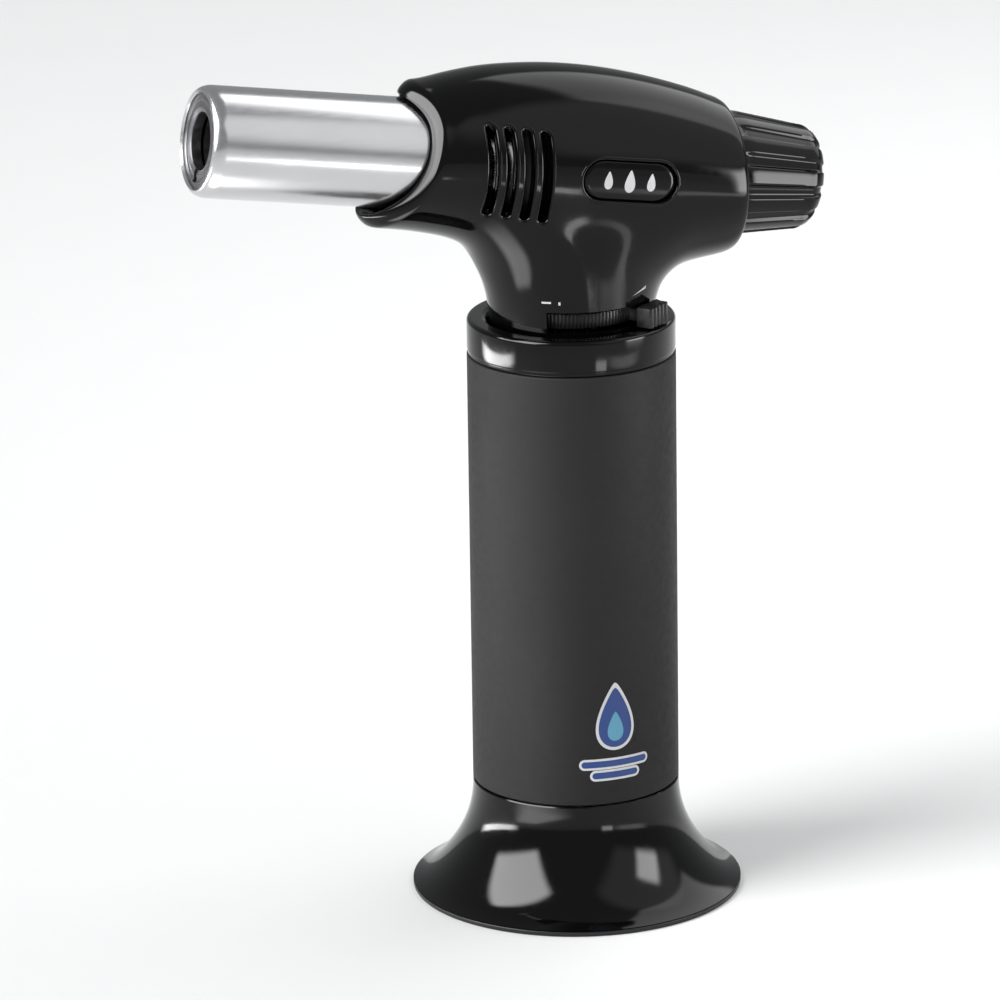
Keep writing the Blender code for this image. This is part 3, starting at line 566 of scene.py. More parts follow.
def mouth_rings(angles):
    """The lip that clasps the flame tube, from deep inside the mouth to its outer rim."""
    deep = [(*oval(angle, 10.6, 10.6, 10.6), front_rim(angle) - 5.0) for angle in angles]
    rings = [deep]
    spots = ((10.5, 0.62), (10.65, 1.05), (11.8, 0.85), (12.9, 0.4), (13.4, 0.0), (13.5, -0.45))
    for radius, share in spots:
        ring = []
        for angle in angles:
            along = front_rim(angle) + share * lip_lead(angle)
            low = radius + (0.9 - 0.2 * (radius - 10.5)) * ((1 - math.cos(angle)) / 2) ** 6
            ring.append((*oval(angle, radius, radius, low), along))
        rings.append(ring)
    rings.append([(*oval(a, 13.6, 14.0, 13.75), (front_rim(a) + SECTIONS[0][0]) / 2) for a in angles])
    return rings


def tail_rings(angles):
    """The rear rim: a soft outer corner, a flat upright face and a short bore for the button."""
    rings = []
    spots = (
        (14.25, 14.3, 15.2, 3.0),
        (13.95, 13.85, 14.5, 1.2),
        (13.55, 13.3, 13.9, 0.25),
        (12.7, 12.6, 12.9, -0.1),
    )
    for half_width, top, bottom, forward in spots:
        ring = []
        for angle in angles:
            up, across = oval(angle, half_width, top, bottom)
            ring.append((up, across, rear_rim(up) + forward))
        rings.append(ring)
    for radius, forward in ((12.15, 0.25), (12.1, 5.0)):
        ring = []
        for angle in angles:
            up, across = oval(angle, radius, radius, radius)
            ring.append((up, across, rear_rim(up) + forward))
        rings.append(ring)
    return rings


def neck_ring(ring, turns):
    """A ring of the neck as head-frame points, at the given turns from the front."""
    front, rear, side, front_radius, rear_radius, side_radius = ring
    swell = 3 / (2 + math.cos(math.tau / len(turns)))
    middle = ((front + rear) / 2 + side) / 2
    lean = (front - rear) / 2
    dip = (front + rear) / 2 - middle
    points = []
    for turn in turns:
        height = middle + lean * math.cos(turn) + dip * math.cos(2 * turn) - HEAD_HEIGHT
        radius = front_radius if math.cos(turn) > 0 else rear_radius
        x = -radius * swell * math.cos(turn)
        y = -side_radius * swell * math.sin(turn)
        up = x * math.sin(PITCH) + height * math.cos(PITCH)
        along = -x * math.cos(PITCH) + height * math.sin(PITCH)
        points.append((up, y, along))
    return points


def neck_border():
    """(section, ring point) round the opening that the neck grows from, starting at the front."""
    first, last = NECK_SECTION_FIRST, NECK_SECTION_LAST
    middle = RING_POINTS // 2
    border = [(first, point) for point in range(middle, NECK_FIRST, -1)]
    border += [(section, NECK_FIRST) for section in range(first, last)]
    border += [(last, point) for point in range(NECK_FIRST, NECK_LAST)]
    border += [(section, NECK_LAST) for section in range(last, first, -1)]
    border += [(first, point) for point in range(NECK_LAST, middle, -1)]
    return border


def head_cage():
    """The head's outer surface as a coarse open cage in the head's frame."""
    angles = [math.tau * index / RING_POINTS for index in range(RING_POINTS)]
    mouth = mouth_rings(angles)
    sections = [[(*oval(a, *section[1:]), section[0]) for a in angles] for section in SECTIONS]
    skipped = len(mouth)
    shape = bmesh.new()
    rings = [
        [shape.verts.new(point) for point in ring] for ring in (*mouth, *sections, *tail_rings(angles))
    ]
    for index, (ahead, behind) in enumerate(zip(rings, rings[1:])):
        over_neck = NECK_SECTION_FIRST <= index - skipped < NECK_SECTION_LAST
        for point in range(RING_POINTS):
            if over_neck and NECK_FIRST <= point < NECK_LAST:
                continue
            after = (point + 1) % RING_POINTS
            shape.faces.new((ahead[after], behind[after], behind[point], ahead[point]))
    border = [rings[section + skipped][point] for section, point in neck_border()]
    turns = [math.tau * index / len(border) for index in range(len(border))]
    for ring in NECK_RINGS:
        below = [shape.verts.new(point) for point in neck_ring(ring, turns)]
        strip(shape, [below, border])
        border = below
    bmesh.ops.delete(shape, geom=[v for v in shape.verts if not v.link_faces], context="VERTS")
    return shape


def smooth_head(levels):
    """The cage drawn in world millimetres and smoothed, as a mesh in metres."""
    mesh = mesh_from("head_surface", head_cage(), HEAD)
    form = scratch_object("head_surface", mesh)
    smooth = form.modifiers.new("smooth", "SUBSURF")
    smooth.levels = levels
    smooth.render_levels = levels
    settle(form)
    return form


class Skin:
    """The head's smooth surface, for laying rims, plates and marks on it."""

    def __init__(self, form):
        graph = bpy.context.evaluated_depsgraph_get()
        self.tree = BVHTree.FromObject(form, graph)

    def cast(self, start, way):
        spot, normal, _, _ = self.tree.ray_cast(start * MM, way)
        if spot is None:
            raise ValueError(f"no head surface at {start}")
        if normal.dot(way) > 0:
            normal = -normal
        return spot / MM, normal

    def side(self, along, up, side, depth=0.0):
        """The point at a place on the head's side, sunk into it by a depth."""
        start = HEAD @ Vector((up, side * 40.0, along))
        spot, normal = self.cast(start, Vector((0.0, -side, 0.0)))
        return spot - normal * depth

    def neck(self, turn, height, depth=0.0):
        """The point at an angle about the body's axis and a height, sunk by a depth."""
        out = Vector((math.cos(turn), math.sin(turn), 0.0))
        start = TORCH @ (out * 40.0 + Vector((0.0, 0.0, height)))
        spot, normal = self.cast(start, -out)
        return spot - normal * depth


SKIN = {}


def slot_outline(height, width, lean=0.0, bow=0.0, steps=10, straight=12):
    """A closed slot with round ends along Y, leaning and bowed in X, as (x, y) points."""
    reach = (height - width) / 2
    outline = []
    for side in (1, -1):
        for step in range(straight):
            outline.append((side * width / 2, side * (2 * step / straight - 1) * reach))
        for step in range(steps):
            angle = math.pi * step / steps
            spot = (width / 2 * math.cos(angle), reach + width / 2 * math.sin(angle))
            outline.append((side * spot[0], side * spot[1]))
    bent = []
    for x, y in outline:
        share = y / (height / 2)
        bent.append((x + lean * share - bow * (1 - share * share), y))
    return bent


# Each air slot's middle as (along, up), and the slots' common form.
VENT_MIDDLES = ((20.55, 0.35), (17.15, 0.3), (13.75, 0.15), (10.35, 0.0))
VENT_HEIGHT = 16.6
VENT_LEAN = 0.75
VENT_BOW = 0.45
BADGE_MIDDLE = (-6.0, 0.4)
BADGE_LENGTH = 18.6
BADGE_HEIGHT = 7.6
BADGE_BEAD = 0.55
SCREW_HOLE = 2.2


def vent_outline(middle, grow):
    """A vent's outline in (along, up), grown outwards by an amount."""
    width = sizes().vent_width + 2 * grow
    points = slot_outline(VENT_HEIGHT + 2 * grow, width, VENT_LEAN, VENT_BOW)
    return [(middle[0] + x, middle[1] + y) for x, y in points]


def badge_outline(grow):
    points = slot_outline(BADGE_LENGTH + 2 * grow, BADGE_HEIGHT + 2 * grow)
    return [(BADGE_MIDDLE[0] + y, BADGE_MIDDLE[1] - x) for x, y in points]


def add_rim(shape, skin, outline_of, profile, side):
    """A rim that follows an outline on the head's side. The profile is (grow, depth) pairs."""
    rings = []
    for grow, depth in profile:
        points = [skin.side(along, up, side, depth) for along, up in outline_of(grow)]
        rings.append([shape.verts.new(point) for point in points])
    strip(shape, rings)


def add_patch(shape, outline, lay, rings=6):
    """Fills an outline with rings that shrink to its middle, each point placed by lay."""
    middle = sum((Vector(point) for point in outline), Vector((0.0, 0.0))) / len(outline)
    made = []
    for step in range(rings):
        share = 1 - step / rings
        made.append([shape.verts.new(lay(*middle.lerp(Vector(p), share))) for p in outline])
    strip(shape, made)
    heart = shape.verts.new(lay(*middle))
    last = made[-1]
    for index in range(len(last)):
        shape.faces.new((last[index], last[(index + 1) % len(last)], heart))


def cutter_for(outline, side):
    """A prism through one side of the head, in world millimetres."""
    shape = bmesh.new()
    low, high = (-22.0, -9.5) if side < 0 else (9.5, 22.0)
    add_prism(shape, outline, low, high, HEAD @ SIDE_VIEW)
    return shape


def arc(start, end, radius, steps):
    """Points of an arc between two angles in degrees."""
    turns = [math.radians(start + (end - start) * step / steps) for step in range(steps + 1)]
    return [(radius * math.cos(turn), radius * math.sin(turn)) for turn in turns]


def sector(start, end, inner, outer, steps=24):
    """A flat band between two angles in degrees and two radii, as (x, y) points."""
    return arc(start, end, inner, steps) + arc(end, start, outer, steps)


def screw_places():
    """Where each head screw lies: (along, up) of its middle."""
    places = []
    for name in sorted(n for n in frame["nodes"] if n.startswith("head_screw_")):
        low, high = box_mm(name)
        middle = HEAD.inverted() @ ((low + high) / 2)
        places.append((middle.z, middle.x))
    return places


def half_head(name, form, side):
    """One shell: half of the head's surface, given a wall and cut for vents, badge and lever."""
    mesh = form.data.copy()
    shape = bmesh.new()
    shape.from_mesh(mesh)
    geometry = shape.verts[:] + shape.edges[:] + shape.faces[:]
    seam = Vector((0.0, side * 0.05 * MM, 0.0))
    bmesh.ops.bisect_plane(
        shape, geom=geometry, plane_co=seam, plane_no=(0.0, -side, 0.0), clear_outer=True, dist=1e-7
    )
    shape.to_mesh(mesh)
    shape.free()
    mesh.shade_smooth()
    shell = new_piece(name, mesh, "gloss_black", "body")
    thicken(shell, sizes().shell_wall, -1.0)
    for index, middle in enumerate(VENT_MIDDLES):
        carve(shell, cutter_for(vent_outline(middle, sizes().vent_round), side), f"vent_{index}")
    carve(shell, cutter_for(badge_outline(BADGE_BEAD * 0.8), side), "badge")
    if side < 0:
        shape = bmesh.new()
        place = TORCH @ Matrix.Rotation(math.radians(LEVER_ANGLE), 4, "Z")
        outline = sector(9.0, -LEVER_TRAVEL - 9.0, 11.0, 17.0)
        add_prism(shape, outline, LEVER_LOW.z - 0.1, LEVER_HIGH.z + 0.3, place)
        carve(shell, shape, "lever_window")
    else:
        for along, up in screw_places():
            shape = bmesh.new()
            circle = [(along + x, up + y) for x, y in arc(0, 345, SCREW_HOLE, 23)]
            add_prism(shape, circle, 5.0, 22.0, HEAD @ SIDE_VIEW)
            carve(shell, shape, "screw_hole")
    shell.data.set_sharp_from_angle(angle=math.radians(35))
    return shell


# ---------------------------------------------------------------- operators


class TORCH_OT_foot(bpy.types.Operator):
    """Turn the flared foot and the thin ring that it stands on"""

    bl_idname = "torch.foot"
    bl_label = "Foot"

    def execute(self, context):
        top, bottom = FOOT_HIGH.z, FOOT_LOW.z
        radius, edge = sizes().sleeve_radius, sizes().foot_radius
        slope = 10.0 / 11.5 * (edge - radius)
        lip = edge - radius - slope

        def flare(height):
            reach = (top - height) / (top - bottom)
            return radius + slope * reach**2.2 + lip * reach**20

        steps = 40
        heights = [top - 0.6 - (top - bottom - 0.8) * step / steps for step in range(steps + 1)]
        outer = [(flare(height), height) for height in heights]
        inner = [(flare(height) - 1.8, height - 0.5) for height in reversed(heights[4:-1])]
        bore = radius - 1.1
        profile = [
            (bore, top),
            (radius - 0.15, top),
            (radius, top - 0.2),
            *outer,
            (flare(bottom) - 0.05, bottom),
            (flare(bottom) - 2.2, bottom),
            *[point for point in inner if point[0] > bore],
            (bore, top - 7.0),
        ]
        foot = turned_piece("flared_foot", profile, TORCH, 192, "gloss_black")
        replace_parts(foot, "base_stand")
        profile = [
            (edge - 2.6, RING_HIGH.z),
            (edge - 0.05, RING_HIGH.z, 0.15),
            (edge - 0.05, RING_LOW.z, 0.3),
            (edge - 2.6, RING_LOW.z, 0.3),
        ]
        ring = turned_piece("foot_rim", profile, TORCH, 192, "satin_black")
        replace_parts(ring, "foot_ring")
        return {"FINISHED"}


class TORCH_OT_grip(bpy.types.Operator):
    """Turn the soft-touch sleeve that the hand holds"""

    bl_idname = "torch.grip"
    bl_label = "Grip sleeve"

    def execute(self, context):
        radius = sizes().sleeve_radius
        bore = radius - 1.2
        top, bottom = SLEEVE_HIGH.z, SLEEVE_LOW.z
        profile = [(bore, top), (radius - 0.02, top, 0.3), (radius - 0.02, bottom, 0.3), (bore, bottom)]
        sleeve = turned_piece("soft_sleeve", profile, TORCH, 192, "soft_grey")
        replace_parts(sleeve, "grip_sleeve")
        return {"FINISHED"}


class TORCH_OT_collar(bpy.types.Operator):
    """Turn the polished collar between the sleeve and the head"""

    bl_idname = "torch.collar"
    bl_label = "Collar"

    def execute(self, context):
        radius = COLLAR_HIGH.y
        bore, spigot = 15.35, 17.5
        top, low = COLLAR_HIGH.z, SLEEVE_HIGH.z + 0.15
        profile = [
            (bore, top - 0.9),
            (bore + 0.35, top - 0.35, 0.2),
            (bore + 1.0, top - 0.02, 0.3),
            (radius, top, sizes().collar_round),
            (radius, low + 0.9, 0.2),
            (radius - 0.12, low + 0.75, 0.1),
            (radius - 0.12, low, 0.25),
            (spigot, low),
            (spigot, COLLAR_LOW.z),
            (bore, COLLAR_LOW.z),
        ]
        collar = turned_piece("polished_collar", profile, TORCH, 192, "gloss_black")
        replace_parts(collar, "collar_ring")
        return {"FINISHED"}


class TORCH_OT_head(bpy.types.Operator):
    """Model the head's two shells with their mouth, vents, badge seats and lever window"""

    bl_idname = "torch.head"
    bl_label = "Head shells"

    def execute(self, context):
        form = smooth_head(3)
        SKIN["head"] = Skin(form)
        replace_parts(half_head("head_case_near", form, -1), "head_shell_near")
        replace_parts(half_head("head_case_far", form, 1), "head_shell_far")
        bpy.data.objects.remove(form)
        turn = sizes().vent_round
        steps = 7
        profile = []
        for step in range(steps + 1):
            angle = math.pi / 2 * step / steps
            profile.append((turn * (1 - math.sin(angle)), turn * (1 - math.cos(angle)) - 0.01))
        profile += [(0.0, 1.4), (0.05, 2.6)]
        for side, word in ((-1, "near"), (1, "far")):
            shape = bmesh.new()
            for middle in VENT_MIDDLES:
                add_rim(shape, SKIN["head"], lambda grow, m=middle: vent_outline(m, grow), profile, side)
            thicken(laid_piece(f"vent_rims_{word}", shape, "gloss_black"), 0.15, 0.0)
            # Each side gets a dark sheet of painted shade behind its rear vents.
            self.add_shade_sheet(side, word)
        return {"FINISHED"}

    def add_shade_sheet(self, side, word):
        """A dark sheet behind the rear pair of vents, bowed round the mixing tube: painted shade that keeps those
        vents dark inside.
        """
        outline = []
        for offset, order in ((0.0, range(17)), (0.5, range(16, -1, -1))):
            for step in order:
                up = step - 8.0
                outline.append((up, side * (9.4 - offset - 0.016 * up * up)))
        shape = bmesh.new()
        # A thin satin-black sheet standing in for the shade inside the head, seen through the rear slots.
        add_prism(shape, outline, 7.0, 15.2)
        bmesh.ops.recalc_face_normals(shape, faces=shape.faces[:])
        mesh = mesh_from(f"shade_sheet_{word}", shape, HEAD)
        new_piece(f"shade_sheet_{word}", mesh, "satin_black", "body")


class TORCH_OT_badges(bpy.types.Operator):
    """Lay a raised bead and a plain plate in the seat on each side of the head"""

    bl_idname = "torch.badges"
    bl_label = "Badges"

    def execute(self, context):
        skin = SKIN["head"]
        bead = []
        steps = 8
        for step in range(steps + 1):
            angle = math.pi * step / steps
            bead.append((BADGE_BEAD / 2 * (1 + math.cos(angle)), -0.16 * math.sin(angle) + 0.05))
        bead += [(-0.05, 0.30), (-0.12, 0.55)]
        for side, word in ((-1, "near"), (1, "far")):
            shape = bmesh.new()
            add_rim(shape, skin, badge_outline, bead, side)
            thicken(laid_piece(f"badge_bead_{word}", shape, "gloss_black"), 0.1, -1.0)
            shape = bmesh.new()
            add_patch(shape, badge_outline(-0.1), lambda x, y, s=side: skin.side(x, y, s, 0.45), 8)
            plate = laid_piece(f"badge_face_{word}", shape, "gloss_black")
            thicken(plate, 0.4, -1.0 if side < 0 else 1.0)
            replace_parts(plate, f"badge_plate_{word}")
            self.add_drops(skin, side, word)
        return {"FINISHED"}

    def add_drops(self, skin, side, word):
        """Three plain drops in white ink, as a gas symbol in place of a name."""
        shape = bmesh.new()
        for index, size in enumerate((0.8, 1.0, 0.8)):
            middle = (BADGE_MIDDLE[0] + 4.2 * (index - 1), BADGE_MIDDLE[1])
            outline = [(middle[0] + x, middle[1] + y) for x, y in drop_outline(1.5 * size, 4.2 * size)]
            add_patch(shape, outline, lambda x, y: skin.side(x, y, side, 0.40), 3)
        laid_piece(f"badge_drops_{word}", shape, "white_ink")


def drop_outline(half_width, height, steps=28):
    """A flame-shaped drop about its middle, as (x, y) points."""
    outline = []
    for step in range(steps):
        turn = math.tau * step / steps
        pinch = ((1 - math.sin(turn)) / 2) ** 0.9
        sway = 0.12 * half_width * math.sin(turn * 2)
        outline.append((half_width * 1.15 * math.cos(turn) * pinch + sway, height / 2 * math.sin(turn)))
    return outline


class TORCH_OT_neck_marks(bpy.types.Operator):
    """Print the flame-size marks above the lever's window"""

    bl_idname = "torch.neck_marks"
    bl_label = "Flame marks"

    def execute(self, context):
        skin = SKIN["head"]
        marks = (
            ((-131.0, 116.2), (-124.5, 116.2), (-124.5, 115.85), (-131.0, 115.85)),
            ((-119.4, 116.2), (-118.0, 116.2), (-118.0, 115.6), (-119.4, 115.6)),
            ((-64.0, 115.85), (-50.0, 116.6), (-50.0, 117.15), (-56.0, 116.55)),
        )
        shape = bmesh.new()
        for corners in marks:
            outline = []
            for index, corner in enumerate(corners):
                after = corners[(index + 1) % len(corners)]
                outline += [Vector(corner).lerp(Vector(after), step / 6) for step in range(6)]
            add_patch(shape, outline, lambda t, z: skin.neck(math.radians(t), z, -0.03), 3)
        laid_piece("flame_marks", shape, "white_ink")
        return {"FINISHED"}


class TORCH_OT_burner(bpy.types.Operator):
    """Turn the flame tube, the burner's rim with its spark notch, and the tube behind it"""

    bl_idname = "torch.burner"
    bl_label = "Flame tube and burner"

    def execute(self, context):
        radius = sizes().tube_radius
        inner = radius - 0.55
        front = TUBE_FRONT
        roll_wide, roll_long, steps = 1.25, 2.4, 12
        roll = []
        for step in range(steps + 1):
            angle = math.pi / 2 * step / steps
            reach = radius - roll_wide * (1 - math.sin(angle))
            roll.append((reach, front - roll_long * (1 - math.cos(angle))))
        profile = [
            (radius - 1.5, front - 0.4, 0.15),
            *roll,
            (radius, TUBE_REAR),
            (inner, TUBE_REAR),
            (inner, front - 2.6),
            (radius - 1.5, front - 2.0),
        ]
        tube = turned_piece("bright_tube", profile, HEAD, 160, "chrome")
        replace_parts(tube, "flame_tube")
        bore = sizes().bore_radius
        profile = [
            (bore, front - 0.8, 0.3),
            (bore + 0.75, front - 0.45, 0.2),
            (bore + 1.5, front - 0.62, 0.2),
            (7.2, front - 0.62, 0.15),
            (7.45, front - 0.4, 0.12),
            (7.75, front - 0.4, 0.12),
            (8.0, front - 0.65, 0.15),
            (radius - 1.55, front - 0.65),
            (radius - 1.55, front - 2.6),
            (bore, front - 2.6),
        ]
        rim = turned_piece("burner_rim", profile, HEAD, 128, "dark_metal")
        shape = bmesh.new()
        outline = [(-7.5, -0.75), (-4.3, -0.75), (-4.3, 0.75), (-7.5, 0.75)]
        add_prism(shape, outline, front - 5.0, front + 1.0, HEAD)
        carve(rim, shape, "spark_notch")
        rim.data.set_sharp_from_angle(angle=math.radians(35))
        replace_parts(rim, "nozzle_ring")
        pipe_bore, pipe_radius, pipe_front, pipe_rear = 5.3, 6.0, 68.3, 41.0
        profile = [
            (pipe_bore, pipe_front),
            (pipe_radius, pipe_front),
            (pipe_radius, pipe_rear),
            (pipe_bore, pipe_rear),
        ]
        pipe = turned_piece("burner_pipe", profile, HEAD, 96, "dark_metal")
        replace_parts(pipe, "burner_tube")
        return {"FINISHED"}


class TORCH_OT_button(bpy.types.Operator):
    """Model the tapered, fluted ignition button at the rear"""

    bl_idname = "torch.button"
    bl_label = "Ignition button"

    def execute(self, context):
        size = sizes()
        start, corner = -31.5, 3.4
        wall_end = KNOB_REAR + corner

        def wall(along):
            share = min(max((start - along) / (start - wall_end), 0.0), 1.0)
            return size.knob_radius + (size.knob_end_radius - size.knob_radius) * share

        path = [(0.0, KNOB_REAR + 2.4), (7.0, KNOB_REAR + 2.4), (9.3, KNOB_FRONT)]
        path.append((wall(KNOB_FRONT), KNOB_FRONT))
        plain = len(path)
        steps = 18
        for step in range(1, steps + 1):
            along = KNOB_FRONT + (wall_end - KNOB_FRONT) * step / steps
            path.append((wall(along), along))
        for step in range(1, 15):
            angle = math.pi / 2 * step / 14
            radius = wall(wall_end) - corner * (1 - math.cos(angle))
            path.append((radius, wall_end - corner * math.sin(angle)))
        path += [(4.0, KNOB_REAR - 0.02), (0.0, KNOB_REAR - 0.02)]
        per_flute = 24
        count = size.flutes * per_flute
        shape = bmesh.new()
        rings = []
        for index, (radius, along) in enumerate(path):
            if radius < 1e-6:
                rings.append([shape.verts.new((0.0, 0.0, along))])
                continue
            ring = []
            for step in range(count):
                turn = math.tau * step / count
                sunk = self.groove(turn, size.flutes) * size.flute_depth
                if index < plain or along > start + 1.0 or radius < 5.0:
                    sunk = 0.0
                sunk *= min(1.0, max(0.0, (radius - 5.0) / 2.0))
                reach = radius - sunk
                ring.append(shape.verts.new((reach * math.cos(turn), -reach * math.sin(turn), along)))
            rings.append(ring)
        join_rings(shape, rings)
        bmesh.ops.recalc_face_normals(shape, faces=shape.faces[:])
        mesh = mesh_from("fluted_button", shape, HEAD, 50.0)
        button = new_piece("fluted_button", mesh, "gloss_black", "knob")
        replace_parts(button, "ignition_knob")
        return {"FINISHED"}

    @staticmethod
    def groove(turn, flutes):
        """How deep the groove is at an angle: 0 on a ridge and 1 in a groove, with soft corners."""
        pitch = math.tau / flutes
        away = abs(math.remainder(turn - math.radians(5.0), pitch)) / pitch
        share = min(max((0.26 - away) / 0.12, 0.0), 1.0)
        return share * share * (3 - 2 * share)


class TORCH_OT_lever(bpy.types.Operator):
    """Model the flame lever: its ring, its arm and its ribbed thumb tab"""

    bl_idname = "torch.lever"
    bl_label = "Flame lever"

    def execute(self, context):
        low, high = LEVER_LOW.z + 0.7, LEVER_HIGH.z - 0.7
        reach = 18.85
        place = TORCH @ Matrix.Rotation(math.radians(LEVER_ANGLE), 4, "Z")
        profile = [(5.7, high), (8.0, high, 0.2), (8.0, low, 0.2), (5.7, low)]
        lever = turned_piece("flame_slider", profile, place, 64, "satin_black", "lever")
        shape = bmesh.new()
        outline = [(7.4, -1.9), (16.2, -1.9), (16.2, 1.9), (7.4, 1.9)]
        add_prism(shape, outline, low, high, place)
        carve(lever, shape, "arm", "UNION")
        shape = bmesh.new()
        outline = [(15.7, 3.2), (15.7, -3.2)]
        ribs, steps = 5, 10
        for step in range(ribs * steps + 1):
            across = -3.2 + 6.4 * step / (ribs * steps)
            rib = 0.5 - 0.5 * math.cos(math.tau * ribs * (across + 3.2) / 6.4)
            outline.append((reach - 0.55 + 0.5 * rib**0.6, across))
        add_prism(shape, outline, LEVER_LOW.z + 0.02, LEVER_HIGH.z - 0.02, place)
        carve(lever, shape, "tab", "UNION")
        shape = bmesh.new()
        add_prism(shape, self.skirt_outline(), low - 0.2, high + 0.2, place)
        carve(lever, shape, "skirt", "UNION")
        soft = lever.modifiers.new("soft_edges", "BEVEL")
        soft.width = 0.1 * MM
        soft.segments = 2
        soft.limit_method = "ANGLE"
        soft.angle_limit = math.radians(50)
        settle(lever)
        lever.data.shade_smooth()
        lever.data.set_sharp_from_angle(angle=math.radians(40))
        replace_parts(lever, "flame_lever")
        return {"FINISHED"}

    @staticmethod
    def skirt_outline(half_turn=78.0, teeth=52):
        """An arc behind the window that stays in it over the lever's travel, finely toothed outside."""
        outline = arc(-half_turn, half_turn, 12.4, 36)
        for step in range(teeth * 4, -1, -1):
            turn = math.radians(half_turn * (step / (teeth * 2) - 1))
            reach = 13.3 if step % 4 in (0, 1) else 13.05
            outline.append((reach * math.cos(turn), reach * math.sin(turn)))
        return outline


class TORCH_OT_springs(bpy.types.Operator):
    """Wind the three springs"""

    bl_idname = "torch.springs"
    bl_label = "Springs"

    def execute(self, context):
        # Radius, loose end, held end, turns, wire radius, joint and how far the loose end travels.
        self.wind("piezo_spring", HEAD, 4.1, -27.4, -19.5, 4, 0.34, "button_press", 5.0)
        self.wind("outlet_valve_spring", TORCH, 1.8, 96.7, 103.9, 4, 0.27, "valve_lift", 2.1)
        self.wind("refill_valve_spring", TORCH, 1.35, 14.5, 18.1, 3, 0.23, "refill_press", 1.5)
        return {"FINISHED"}

    @staticmethod
    def wind(node, place, radius, loose, held, turns, wire, joint, travel):
        shape = bmesh.new()
        rings = []
        count = turns * 28
        for step in range(count + 1):
            turn = math.tau * step / 28
            rise = min(max((step / count - 0.12) / 0.76, 0.0), 1.0)
            height = loose + (held - loose) * rise
            ring = []
            for side in range(10):
                around = math.tau * side / 10
                reach = radius + wire * math.cos(around)
                spot = (reach * math.cos(turn), reach * math.sin(turn), height + wire * math.sin(around))
                ring.append(shape.verts.new(spot))
            rings.append(ring)
        strip(shape, rings)
        shape.faces.new(rings[0])
        shape.faces.new(rings[-1])
        bmesh.ops.recalc_face_normals(shape, faces=shape.faces[:])
        name = node.replace("_spring", "_coil")
        coil = new_piece(name, mesh_from(name, shape, place), "steel", "body")
        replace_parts(coil, node)
        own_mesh(coil)


class TORCH_OT_sticker(bpy.types.Operator):
    """Lay a plain gas-flame sticker and two bars on the sleeve"""

    bl_idname = "torch.sticker"
    bl_label = "Sleeve sticker"

    def execute(self, context):
        radius = sizes().sleeve_radius
        middle_turn, height = math.radians(-88.5), 38.2

        def lay(lift):
            def place(x, y):
                turn = middle_turn + x / radius
                reach = radius + lift
                return TORCH @ Vector((reach * math.cos(turn), reach * math.sin(turn), height + y))

            return place

        layers = (
            ("sticker_edge", "white_ink", 5.6, 13.0, 0.0, 0.03),
            ("sticker_flame", "blue_ink", 4.8, 11.4, -0.2, 0.06),
            ("sticker_core", "pale_ink", 2.3, 5.6, -1.9, 0.09),
        )
        for name, finish, half_width, tall, drop, lift in layers:
            shape = bmesh.new()
            outline = [(x, y + drop) for x, y in drop_outline(half_width, tall, 48)]
            add_patch(shape, outline, lay(lift), 10)
            self.finish_layer(name, shape, finish)
        for name, finish, grow, lift in (
            ("sticker_bar_edge", "white_ink", 0.45, 0.03),
            ("sticker_bars", "blue_ink", 0.0, 0.06),
        ):
            shape = bmesh.new()
            for drop, long in ((-9.0, 13.0), (-11.2, 9.0)):
                outline = [(y, drop + x) for x, y in slot_outline(long + 2 * grow, 1.2 + 2 * grow)]
                add_patch(shape, outline, lay(lift), 4)
            self.finish_layer(name, shape, finish)
        return {"FINISHED"}

    def finish_layer(self, name, shape, finish):
        mesh = laid_piece(name, shape, finish).data
        out = mesh.vertices[0].co - Vector((BODY_X * MM, 0.0, mesh.vertices[0].co.z))
        if mesh.polygons[0].normal.dot(out) < 0:
            mesh.flip_normals()


class TORCH_OT_inner_finishes(bpy.types.Operator):
    """Give every piece that keeps its plain shape its own finish"""

    bl_idname = "torch.inner_finishes"
    bl_label = "Inner finishes"

    def execute(self, context):
        slots = {part["node"]: part["material_slot"] for part in frame["record"]["subparts"]}
        for name, node in frame["nodes"].items():
            for slot in node.material_slots:
                slot.material = FINISHES[slots[name]]
        return {"FINISHED"}


